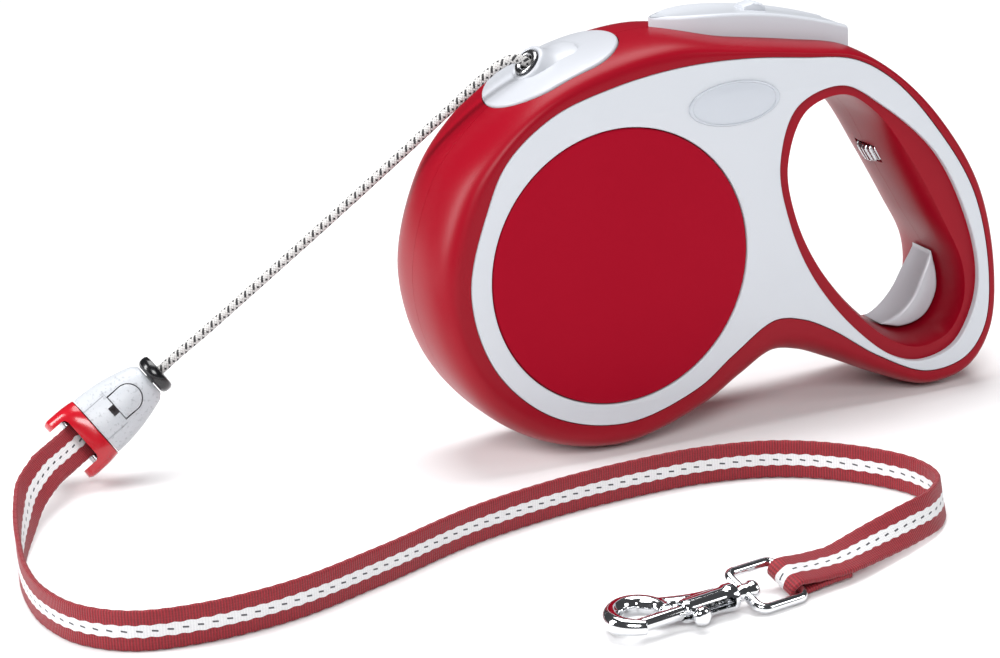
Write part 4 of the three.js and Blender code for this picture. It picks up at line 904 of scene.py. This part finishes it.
# %% [markdown]
# The release button is D-shaped, with its round side towards the stopper. The housing gets a pocket of the
# same shape, a dark notch at its straight side, and the fine lines where its mouldings meet.

# %% Pocket, notch and seams
BUTTON_X, BUTTON_LENGTH = 11.2 * MM, 9 * MM


def d_shape(grow, steps=40):
    half = 4.4 * MM + grow
    bend = np.linspace(math.pi / 2, 1.5 * math.pi, steps)
    round_side = [(BUTTON_X + half * math.cos(a), half * math.sin(a)) for a in bend]
    end = BUTTON_X + BUTTON_LENGTH / 2 + grow
    return np.array(round_side + [(end, -half), (end, half)])


def box_points(low, high):
    """A box between two corners, to cut with."""
    sides = ((low[1], low[2]), (high[1], low[2]), (high[1], high[2]), (low[1], high[2]))
    return rings_to_faces([[Vector((x, y, z)) for y, z in sides] for x in (low[0], high[0])])


cut(housing, *prism(d_shape(0.28 * MM), -14 * MM, -1 * MM))
straight = mm((BUTTON_X + BUTTON_LENGTH / 2) / MM, 0, 0)
cut(housing, *box_points(straight + mm(-0.5, -14, -1.6), straight + mm(2.3, -2, 1.6)))
SEAMS = (((0.2, -14, -5.75), (9, -3.5, -5.5)), ((0.2, -14, -7.1), (0.5, -3, -4.6)),
         ((0.2, -14, 5.5), (9, -3.5, 5.75)))
SEAM_DEPTH = 0.35 * MM
for low, high in SEAMS:
    seam = cutter(*box_points(straight + mm(*low), straight + mm(*high)))
    cut(seam, *inside_housing(SEAM_DEPTH, 14))
    combine(housing, seam, "DIFFERENCE")
housing.data.transform(coupler_place)
tidy(housing, 34)
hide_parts("coupler_body")
button_place = coupler_place @ Matrix.Translation((BUTTON_X, 0, 0)) @ Matrix.Rotation(math.pi / 2, 4, "X")
plan = d_shape(-0.05 * MM) - np.array([BUTTON_X, 0])
corner = np.array([(BUTTON_LENGTH / 2, y) for y in np.linspace(-4.2, 4.2, 16) * MM])
plan = np.vstack([plan[:40], corner])
raised = laid_on(housing_surface, plan, button_place, 0.35 * MM, 2.6 * MM, 0.4 * MM, 8, 0.25 * MM)
points, faces = rings_to_faces(raised)
release = piece("coupler_release", points, faces, "coupler_release", 40)
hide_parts("coupler_button")

# %% Fork and pin
FORK_COLLAR, FORK_HALF, FORK_END, FORK_TIP = 5.6 * MM, 11.4 * MM, 36.6 * MM, 3.4 * MM


def fork_ring(x):
    share = clamp((x - FORK_START) / FORK_COLLAR)
    half = HOUSING_MOUTH + 0.25 * MM + (FORK_HALF - HOUSING_MOUTH - 0.25 * MM) * math.sin(share * math.pi / 2)
    tip = clamp((x - (FORK_END - FORK_TIP)) / FORK_TIP)
    thinning = 1 - 0.30 * share * (x - FORK_START) / (FORK_END - FORK_START)
    flat = FLATNESS * thinning * (1 - tip**3) ** 0.5 + 0.02
    return oval(x, half - 0.9 * MM * tip**4, flat, 2.4 + 1.2 * share)


xs = [FORK_START + d * MM for d in (0, 0.12, 0.35, 0.8, 1.5, 2.4, 3.4, 4.5, 5.6, 6.6, 7.6, 8.4)]
xs += [FORK_END - d * MM for d in (3.2, 2.6, 2.0, 1.5, 1.0, 0.6, 0.3, 0.1, 0)]
rings = [fork_ring(x) for x in xs]
rings[0] = [Vector((p.x, p.y * 0.95, p.z * 0.965)) for p in rings[0]]
points, faces = rings_to_faces(rings)
fork = piece("coupler_fork_collar", points, faces, "case", 40)
GAP = FORK_HALF - 3.4 * MM
slot = []
throat = ((FORK_START + 5.2 * MM, 0), (FORK_START + 5.7 * MM, 0.8), (FORK_START + 6.6 * MM, 1))
for x, opened in (*throat, (FORK_END + 4 * MM, 1)):
    half = (GAP - 1.4 * MM) + 1.4 * MM * opened
    slot.append([Vector((x, a * 12 * MM, b * half)) for a, b in ((-1, -1), (1, -1), (1, 1), (-1, 1))])
cut(fork, *rings_to_faces(slot))
hole = [oval(x, HOUSING_MOUTH - 2.2 * MM) for x in (FORK_START - MM, FORK_START + 7 * MM)]
cut(fork, *rings_to_faces(hole))
points, faces = rod(-20 * MM, 20 * MM, PIN_RADIUS + 0.12 * MM, 40)
pin_frame = frame_at((PIN_X, 0, 0), (0, 0, 1), (1, 0, 0))
cut(fork, moved(points, pin_frame), faces)
fork.data.transform(coupler_place)
tidy(fork, 42)
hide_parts("coupler_fork")
half_pin = FORK_HALF - 0.4 * MM
pin_end = [(half_pin - 0.35 * MM, PIN_RADIUS), (half_pin, 1.2 * MM), (half_pin, 0)]
points, faces = revolve([(-x, r) for x, r in pin_end[::-1]] + pin_end, 48)
pin = piece("coupler_pin", moved(points, coupler_place @ pin_frame), faces, "case", 40)
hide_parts("fork_pin")
print("coupler made of", len(housing.data.polygons) + len(fork.data.polygons), "faces")

# %% [markdown]
# ## The snap hook
# The hook is a plated casting: a round barrel, a neck, and a ring that the sliding bolt closes. A casting has
# no sharp edges, so its parts are made as fat tubes, melted together with a voxel remesh and smoothed. The
# bolt, its knob and the swivel eye are cleaner, turned or bent pieces.

# %% Hook casting
RING_X, RING_Y = 32 * MM, -5.2 * MM
KNOB_X = 19 * MM


def ring_across(point, ahead, radius, steps, flat=1.0):
    """A ring around a level line's point; flat squeezes it in Z."""
    upright = np.array((0, 0, 1.0))
    side = np.cross(upright, ahead)
    side /= np.linalg.norm(side)
    outwards = [side * math.cos(a) + flat * upright * math.sin(a) for a in full_turn(steps)]
    return [Vector(point + radius * out) for out in outwards]


def rod_along(line, radii, steps=24, flat=1.0):
    """A tube of varying radius; flat squeezes it in Z."""
    line = np.array([tuple(p) for p in line], dtype=float)
    rings = []
    for point, ahead, radius in zip(line, np.gradient(line, axis=0), radii):
        rings.append(ring_across(point, ahead, radius, steps, flat))
    return rings_to_faces(rings)


def ring_point(degrees, grow=0.0):
    a = math.radians(degrees)
    reach = (7.4 + 1.2 * max(math.cos(a), 0) ** 2) * MM + grow
    return Vector((RING_X + reach * math.cos(a), RING_Y + (7.9 * MM + grow) * math.sin(a), 0))


arc = [ring_point(d) for d in range(-200, 66, 5)]
swell = [math.sin(math.pi * (k + 8) / (len(arc) + 10)) ** 0.8 for k in range(len(arc))]
width = [(1.6 + 1.25 * share) * MM for share in swell]
hook = piece("hook_casting", *rod_along(arc, width, flat=1.12), "hook", 60)
NECK = [(9, -1.2), (15, -2.4), (20, -4.6), (24.6, -7.4), (28, -11)]
neck_line = smooth_line([mm(x, y, 0) for x, y in NECK], per_span=8)
neck_width = [(3.3 - 0.8 * k / len(neck_line)) * MM for k in range(len(neck_line))]
combine(hook, cutter(*rod_along(neck_line, neck_width, flat=0.98)), "UNION")
BARREL = [(3.4, 0), (3.4, 3.2), (3.9, 3.9), (4.6, 4), (6.4, 4), (7, 3.7), (8, 3.55), (15, 3.5), (20.6, 3.45),
          (21.6, 3.1), (22, 2.6), (22, 0)]
combine(hook, cutter(*turned(BARREL, 64)), "UNION")
melt = hook.modifiers.new("melt", "REMESH")
melt.mode = "VOXEL"
melt.voxel_size = 0.22 * MM
melt.use_smooth_shade = True
soften = hook.modifiers.new("soften", "SMOOTH")
soften.factor = 0.6
soften.iterations = 9
bpy.context.view_layer.update()
hook.data = bpy.data.meshes.new_from_object(hook.evaluated_get(bpy.context.evaluated_depsgraph_get()))
hook.modifiers.clear()
cut(hook, *rod(5.2 * MM, RING_X + 6.2 * MM, 2.35 * MM, 48))
cut(hook, *box_points((KNOB_X - 13.4 * MM, 0, -1.5 * MM), (KNOB_X + 3.2 * MM, 9 * MM, 1.5 * MM)))
hook.data.transform(hook_place)
tidy(hook, 50)
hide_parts("hook_body")
print("hook casting:", len(hook.data.polygons), "faces")

# %% Bolt and knob
BOLT = [(16.6, 0), (16.6, 2.05), (36.2, 2.05), (37.2, 1.9), (37.8, 1.3), (38, 0)]
bolt = piece("hook_bolt_rod", *turned(BOLT, 48), "bolt", 40)
KNOB = [(0, 0), (0, 1.05), (3.6, 1.05), (4, 1.5), (4.6, 2.4), (5.3, 2.7), (6.2, 2.7), (6.9, 2.3), (7.35, 1.5),
        (7.5, 0)]
points, faces = turned(KNOB, 48)
combine(bolt, cutter(moved(points, frame_at((KNOB_X, 0, 0), (0, 1, 0), (0, 0, 1))), faces), "UNION")
bolt.data.transform(hook_place)
tidy(bolt, 40)
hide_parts("hook_bolt")

# %% [markdown]
# The swivel eye is a bent and welded wire loop with a headed post through its near bar. The wire is swept
# around a rounded rectangle, and the post is turned.

# %% Swivel eye
corner = 2.6 * MM
left, right, half = -EYE_SPAN, 0.0, EYE_HALF_WIDTH
corners = ((right - corner, half - corner, 0), (left + corner, half - corner, 90),
           (left + corner, corner - half, 180), (right - corner, corner - half, 270))
bend = []
for x, y, start in corners:
    for degrees in range(start, start + 91, 10):
        a = math.radians(degrees)
        bend.append((x + corner * math.cos(a), y + corner * math.sin(a), 0))
loop, _ = evenly(np.vstack([np.array(bend), bend[:1]]), 0.5 * MM)
loop = loop[:-1]
tangents = np.roll(loop, -1, axis=0) - np.roll(loop, 1, axis=0)
rings = []
for point, ahead in zip(loop, tangents):
    wire = EYE_WIRE * (1.0 if point[0] > -3 * MM else 0.97)
    rings.append(ring_across(point, ahead, wire, 28))
eye = piece("swivel_eye_loop", *rings_to_faces(rings, closed=True), "case", 60)
POST = [(-4.2, 0), (-4.2, 1.9), (-3.9, 2.5), (-3.3, 2.8), (-2.4, 2.8), (-1.6, 2.45), (-1.2, 2.4), (1.2, 2.4),
        (1.7, 2), (3.1, 2), (3.1, 0)]
combine(eye, cutter(*turned(POST, 56)), "UNION")
eye.data.transform(eye_place)
tidy(eye, 40)
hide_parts("swivel_eye")

# %% [markdown]

# %% [markdown]
# ## Finishes
# A material is worked out with plain arithmetic on sockets. The class below wraps one output of a node; when
# it is added, multiplied or compared, a Math node does the sum. Colours are mixed with a Mix node, because a
# Math node would turn them grey.


# %% Shader arithmetic
class Signal:
    def __init__(self, socket):
        self.socket = socket

    def math(self, operation, *others):
        node = self.socket.id_data.nodes.new("ShaderNodeMath")
        node.operation = operation
        for slot, value in zip(node.inputs, (self, *others)):
            feed(slot, value)
        return Signal(node.outputs[0])

    def flipped(self, operation, other):
        node = self.socket.id_data.nodes.new("ShaderNodeMath")
        node.operation = operation
        feed(node.inputs[0], other)
        feed(node.inputs[1], self)
        return Signal(node.outputs[0])

    def __add__(self, other):
        return self.math("ADD", other)

    __radd__ = __add__

    def __sub__(self, other):
        return self.math("SUBTRACT", other)

    def __rsub__(self, other):
        return self.flipped("SUBTRACT", other)

    def __mul__(self, other):
        return self.math("MULTIPLY", other)

    __rmul__ = __mul__

    def __truediv__(self, other):
        return self.math("DIVIDE", other)

    def __rtruediv__(self, other):
        return self.flipped("DIVIDE", other)

    def __pow__(self, other):
        return self.math("POWER", other)

    def __lt__(self, other):
        return self.math("LESS_THAN", other)

    def __gt__(self, other):
        return self.math("GREATER_THAN", other)

    def __abs__(self):
        return self.math("ABSOLUTE")


def feed(slot, value):
    if isinstance(value, Signal):
        slot.id_data.links.new(value.socket, slot)
    else:
        slot.default_value = value


class Finish:
    """A material under construction: node() adds any node, settings first, then its sockets."""

    def __init__(self, name, **sockets):
        self.material = bpy.data.materials.new(name)
        self.material.use_nodes = True
        self.tree = self.material.node_tree
        self.surface = self.tree.nodes["Principled BSDF"]
        self.set(**{key.replace("_", " "): value for key, value in sockets.items()})

    def set(self, **sockets):
        for key, value in sockets.items():
            feed(self.surface.inputs[key.replace("_", " ")], value)

    def node(self, kind, settings=None, output=0, **sockets):
        node = self.tree.nodes.new(kind)
        for key, value in (settings or {}).items():
            setattr(node, key, value)
        for key, value in sockets.items():
            numbered = key[0] == "i" and key[1:].isdigit()
            feed(node.inputs[int(key[1:]) if numbered else key.replace("_", " ")], value)
        return Signal(node.outputs[output])

    def mix(self, share, first, second):
        return self.node("ShaderNodeMix", {"data_type": "RGBA"}, 2, i0=share, i6=first, i7=second)

    def noise(self, where, scale, detail=2.0, roughness=0.5):
        return self.node("ShaderNodeTexNoise", None, 0, Vector=where, Scale=scale, Detail=detail,
                         Roughness=roughness)

    def here(self):
        return self.node("ShaderNodeTexCoord", None, 3)

    def bump(self, height, strength, distance):
        raised = self.node("ShaderNodeBump", None, 0, Strength=strength, Distance=distance, Height=height)
        self.set(Normal=raised)


def on(finish, *objects):
    for made in objects:
        made.data.materials.clear()
        made.data.materials.append(finish.material)


# %% [markdown]
# Moulded plastic is spark-eroded in the mould, so it has a fine even grain that spreads its highlight. The
# colour hardly varies; a slow noise moves the gloss a little, as hands do.


# %% Moulded plastics
def moulded(name, color, shade, gloss, grain, depth, coat=0.0, shine=0.5):
    made = Finish(name)
    spot = made.here()
    slow = made.noise(spot, 22.0, 3.0)
    fine = made.noise(spot, grain, 2.0, 0.6)
    made.set(Base_Color=made.mix(slow, (*color, 1), (*shade, 1)))
    made.set(Roughness=gloss + 0.10 * (slow - 0.5) + 0.05 * (fine - 0.5))
    feed(made.surface.inputs["Coat Weight"], coat)
    feed(made.surface.inputs["Coat Roughness"], 0.12)
    feed(made.surface.inputs["IOR"], 1.49)
    feed(made.surface.inputs["Specular IOR Level"], shine)
    made.bump(fine, 0.35, depth)
    return made


RED_LIGHT, RED_DARK = (0.27, 0.0015, 0.011), (0.24, 0.001, 0.009)
case_red = moulded("crimson_moulding", RED_LIGHT, RED_DARK, 0.34, 2600.0, 0.00003, shine=0.18)
cover_red = moulded("crimson_cover", (0.31, 0.002, 0.015), (0.29, 0.0015, 0.013), 0.5, 2200.0, 0.00004,
                    shine=0.06)
fork_red = moulded("glossy_red_fork", (0.46, 0.006, 0.016), (0.40, 0.004, 0.012), 0.22, 900.0, 0.00002, 0.3)
trim_grey = moulded("pearl_grey_trim", (0.56, 0.585, 0.625), (0.53, 0.553, 0.592), 0.42, 2600.0, 0.00003)
insert_grey = moulded("insert_grey", (0.46, 0.475, 0.51), (0.42, 0.435, 0.47), 0.36, 2200.0, 0.00003)
button_grey = moulded("button_grey", (0.53, 0.55, 0.59), (0.49, 0.51, 0.55), 0.38, 2200.0, 0.00003)
pad_grey = moulded("pad_pearl", (0.56, 0.58, 0.62), (0.52, 0.54, 0.58), 0.28, 1800.0, 0.00002, 0.25)
badge_grey = moulded("badge_grey", (0.50, 0.53, 0.58), (0.46, 0.49, 0.54), 0.24, 1200.0, 0.00002, 0.4)
inner_black = moulded("dark_inner_moulding", (0.03, 0.03, 0.034), (0.022, 0.022, 0.026), 0.5, 1500.0, 0.00004)
black_rubber = moulded("glossy_black_stopper", (0.006, 0.006, 0.007), (0.004, 0.004, 0.005), 0.22, 700.0,
                       0.00002, 0.25)

# %% [markdown]
# The coupler's housing is a glass-filled plastic: pale grey with tiny darker flecks and a mottled surface.

# %% Speckled housing
speckled = Finish("speckled_housing_grey")
spot = speckled.here()
slow = speckled.noise(spot, 60.0, 3.0)
flecks = speckled.noise(spot, 900.0, 3.0, 0.7)
dark = (flecks > 0.60) * 0.45
grey = speckled.mix(slow, (0.52, 0.54, 0.57, 1), (0.42, 0.44, 0.47, 1))
speckled.set(Base_Color=speckled.mix(dark, grey, (0.22, 0.23, 0.25, 1)))
speckled.set(Roughness=0.38 + 0.25 * (flecks - 0.5))
speckled.bump(flecks + 0.6 * slow, 0.5, 0.00012)

# %% [markdown]
# Steel is brushed and slightly grey; the plating on the hook is bright, with faint waves from polishing.


# %% Metals
def metal(name, color, gloss, spread, waviness, depth):
    made = Finish(name)
    spot = made.here()
    wave = made.noise(spot, waviness, 2.0)
    fine = made.noise(spot, 2500.0, 2.0)
    feed(made.surface.inputs["Metallic"], 1.0)
    made.set(Base_Color=made.mix(wave, (*color, 1), (*(c * 0.88 for c in color), 1)))
    made.set(Roughness=gloss + spread * (fine - 0.5))
    made.bump(wave, 0.3, depth)
    return made


steel = metal("bright_steel", (0.62, 0.63, 0.65), 0.26, 0.12, 300.0, 0.00003)
chrome = metal("polished_plating", (0.80, 0.81, 0.83), 0.09, 0.04, 260.0, 0.00005)
dark_steel = metal("eyelet_steel", (0.36, 0.36, 0.37), 0.22, 0.1, 300.0, 0.00003)

# %% [markdown]
# The braid's UV coordinates run around and along the cord. Two families of carriers cross over each other:
# counting carriers in each direction gives a lattice, and its parity says which family is on top. One carrier
# in four is black, which gives the flecks.

# %% Braid
braid = Finish("flecked_braid")
split = braid.node("ShaderNodeUVMap", {"uv_map": "UVMap"})
parts = braid.tree.nodes.new("ShaderNodeSeparateXYZ")
feed(parts.inputs[0], split)
around, along = Signal(parts.outputs[0]), Signal(parts.outputs[1])
first = BRAID_CARRIERS * around + along * (BRAID_CARRIERS / BRAID_PITCH)
second = BRAID_CARRIERS * around - along * (BRAID_CARRIERS / BRAID_PITCH)
over = (first.math("FLOOR") + second.math("FLOOR")).math("FLOORED_MODULO", 2.0)
first_black = first.math("FLOOR").math("FLOORED_MODULO", 4.0) < 0.5
second_black = second.math("FLOOR").math("FLOORED_MODULO", 4.0) < 0.5
black = over * first_black + (1 - over) * second_black
in_first = abs(first.math("FRACT") - 0.5) * 2
in_second = abs(second.math("FRACT") - 0.5) * 2
edge = over * in_first + (1 - over) * in_second
# Each carrier is painted darker towards its edges, where it dips under its neighbours: this is painted shade
# in the crevices of the braid, and it follows the bump.
shade = braid.mix(edge**3, (0.60, 0.59, 0.58, 1), (0.24, 0.23, 0.23, 1))
braid.set(Base_Color=braid.mix(black, shade, (0.012, 0.012, 0.014, 1)))
feed(braid.surface.inputs["Roughness"], 0.55)
feed(braid.surface.inputs["Sheen Weight"], 0.15)
braid.bump(1 - edge**2, 0.6, 0.00018)

# %% [markdown]
# The webbing is ribbed across its length. A pale reflective stripe runs down its middle, held by a row of
# stitches that pull its edges into small scallops and show as short dark dashes.

# %% Webbing
webbing = Finish("ribbed_red_webbing")
split = webbing.node("ShaderNodeUVMap", {"uv_map": "UVMap"})
parts = webbing.tree.nodes.new("ShaderNodeSeparateXYZ")
feed(parts.inputs[0], split)
across, along = Signal(parts.outputs[0]) - 0.5, Signal(parts.outputs[1])
RIB, STITCH = 0.85 * MM, 4.2 * MM
rib = (along * (2 * math.pi / RIB)).math("SINE") * 0.5 + 0.5
yarn = (across * (2 * math.pi * 15)).math("SINE") * 0.5 + 0.5
wander = webbing.noise(webbing.here(), 700.0, 2.0)
scallop = (along * (2 * math.pi / STITCH)).math("SINE") * 0.014
stripe = (abs(across) + scallop + 0.02 * (wander - 0.5)) < 0.15
phase = (along / STITCH).math("FRACT")
dash = (phase > 0.30) * (phase < 0.72) * (abs(across + (phase - 0.5) * 0.05) < 0.022)
# The red and the pale stripe are painted darker in the grooves between the ribs, following the ribs' bump:
# painted shade. The noise adds a random tone of the yarn to the red.
red_with_painted_rib_shade = webbing.mix(rib * 0.55 + wander * 0.3, (0.10, 0.001, 0.005, 1), (0.36, 0.004, 0.016, 1))
pale_with_painted_rib_shade = webbing.mix(rib * 0.35, (0.66, 0.66, 0.67, 1), (0.48, 0.48, 0.50, 1))
webbing.set(Base_Color=webbing.mix(stripe, red_with_painted_rib_shade, webbing.mix(dash, pale_with_painted_rib_shade, (0.06, 0.06, 0.07, 1))))
webbing.set(Roughness=0.62 - 0.12 * stripe)
feed(webbing.surface.inputs["Sheen Weight"], 0.08)
feed(webbing.surface.inputs["Sheen Roughness"], 0.4)
webbing.bump(rib * (1 - 0.6 * stripe) + 0.35 * yarn + 0.35 * stripe - 0.5 * dash, 0.8, 0.0002)

# %% Give every piece its finish
on(case_red, near_shell, far_shell)
on(fork_red, fork)
for side in ("near", "far"):
    on(trim_grey, bpy.data.objects[side + "_face_trim"])
    on(cover_red, bpy.data.objects[side + "_side_cover"])
    on(badge_grey, bpy.data.objects[side + "_oval_badge"])
on(insert_grey, outlet, boss)
on(button_grey, button, lock)
on(pad_grey, pad)
on(speckled, housing, release)
on(black_rubber, stopper)
on(chrome, hook, bolt, eye)
on(steel, wheel, pin)
on(dark_steel, eyelet)
on(braid, cord)
on(webbing, strap)


def repaint(node, finish):
    for slot in nodes[node].material_slots:
        slot.material = finish.material


for node in ("reel_drum", "spring_cover", "brake_pawl"):
    repaint(node, inner_black)
for node in ("spiral_spring", "reel_axle", "brake_spring", "bolt_spring", "adjuster_spindle"):
    repaint(node, steel)
for number in range(1, 6):
    repaint(f"case_screw_{number}", steel)
wound = moulded("wound_cord_white", (0.62, 0.61, 0.59), (0.48, 0.47, 0.46), 0.7, 1100.0, 0.0004)
repaint("wound_cord", wound)

# %% [markdown]
# ## The studio
# A pale floor, a large soft light from above, a tall one from the left, a wide one from the front left and a
# weak one from the right. The surround is nearly dark, so the rim keeps its deep red and the plated hook has
# something dark to reflect.

# %% Floor
bpy.ops.mesh.primitive_grid_add(x_subdivisions=2, y_subdivisions=2, size=8)
floor = bpy.context.object
floor.name = "studio_floor"
floor.location.z = -0.0002
paper = Finish("floor_paper")
clouds = paper.noise(paper.here(), 3.0)
paper.set(Base_Color=paper.mix(clouds, (0.86, 0.86, 0.865, 1), (0.84, 0.84, 0.845, 1)))
feed(paper.surface.inputs["Roughness"], 0.75)
on(paper, floor)


# %% Lights
def soft_light(name, place, target, width, height, power, tint=(1, 1, 1)):
    data = bpy.data.lights.new(name, "AREA")
    data.shape = "RECTANGLE"
    data.size, data.size_y, data.energy, data.color = width, height, power, tint
    made = bpy.data.objects.new(name, data)
    bpy.context.collection.objects.link(made)
    aim = (Vector(target) - Vector(place)).to_track_quat("-Z", "Y")
    made.matrix_world = Matrix.Translation(place) @ aim.to_matrix().to_4x4()
    return made


soft_light("overhead", (0.05, 0.25, 1.5), (-0.05, -0.02, 0.05), 1.2, 1.0, 27)
soft_light("left_softbox", (-1.30, 0.30, 0.62), (-0.05, -0.02, 0.05), 0.4, 0.9, 16)
soft_light("front_softbox", (-0.75, -1.25, 0.95), (-0.05, -0.02, 0.05), 0.8, 0.6, 19)
soft_light("right_fill", (1.1, -0.8, 0.6), (0.0, -0.05, 0.05), 0.6, 0.6, 5)
world = bpy.data.worlds.new("studio")
bpy.context.scene.world = world
world.use_nodes = True
world.node_tree.nodes["Background"].inputs["Color"].default_value = (0.93, 0.95, 1.0, 1)
world.node_tree.nodes["Background"].inputs["Strength"].default_value = 0.07
bpy.context.scene.view_settings.view_transform = "Standard"
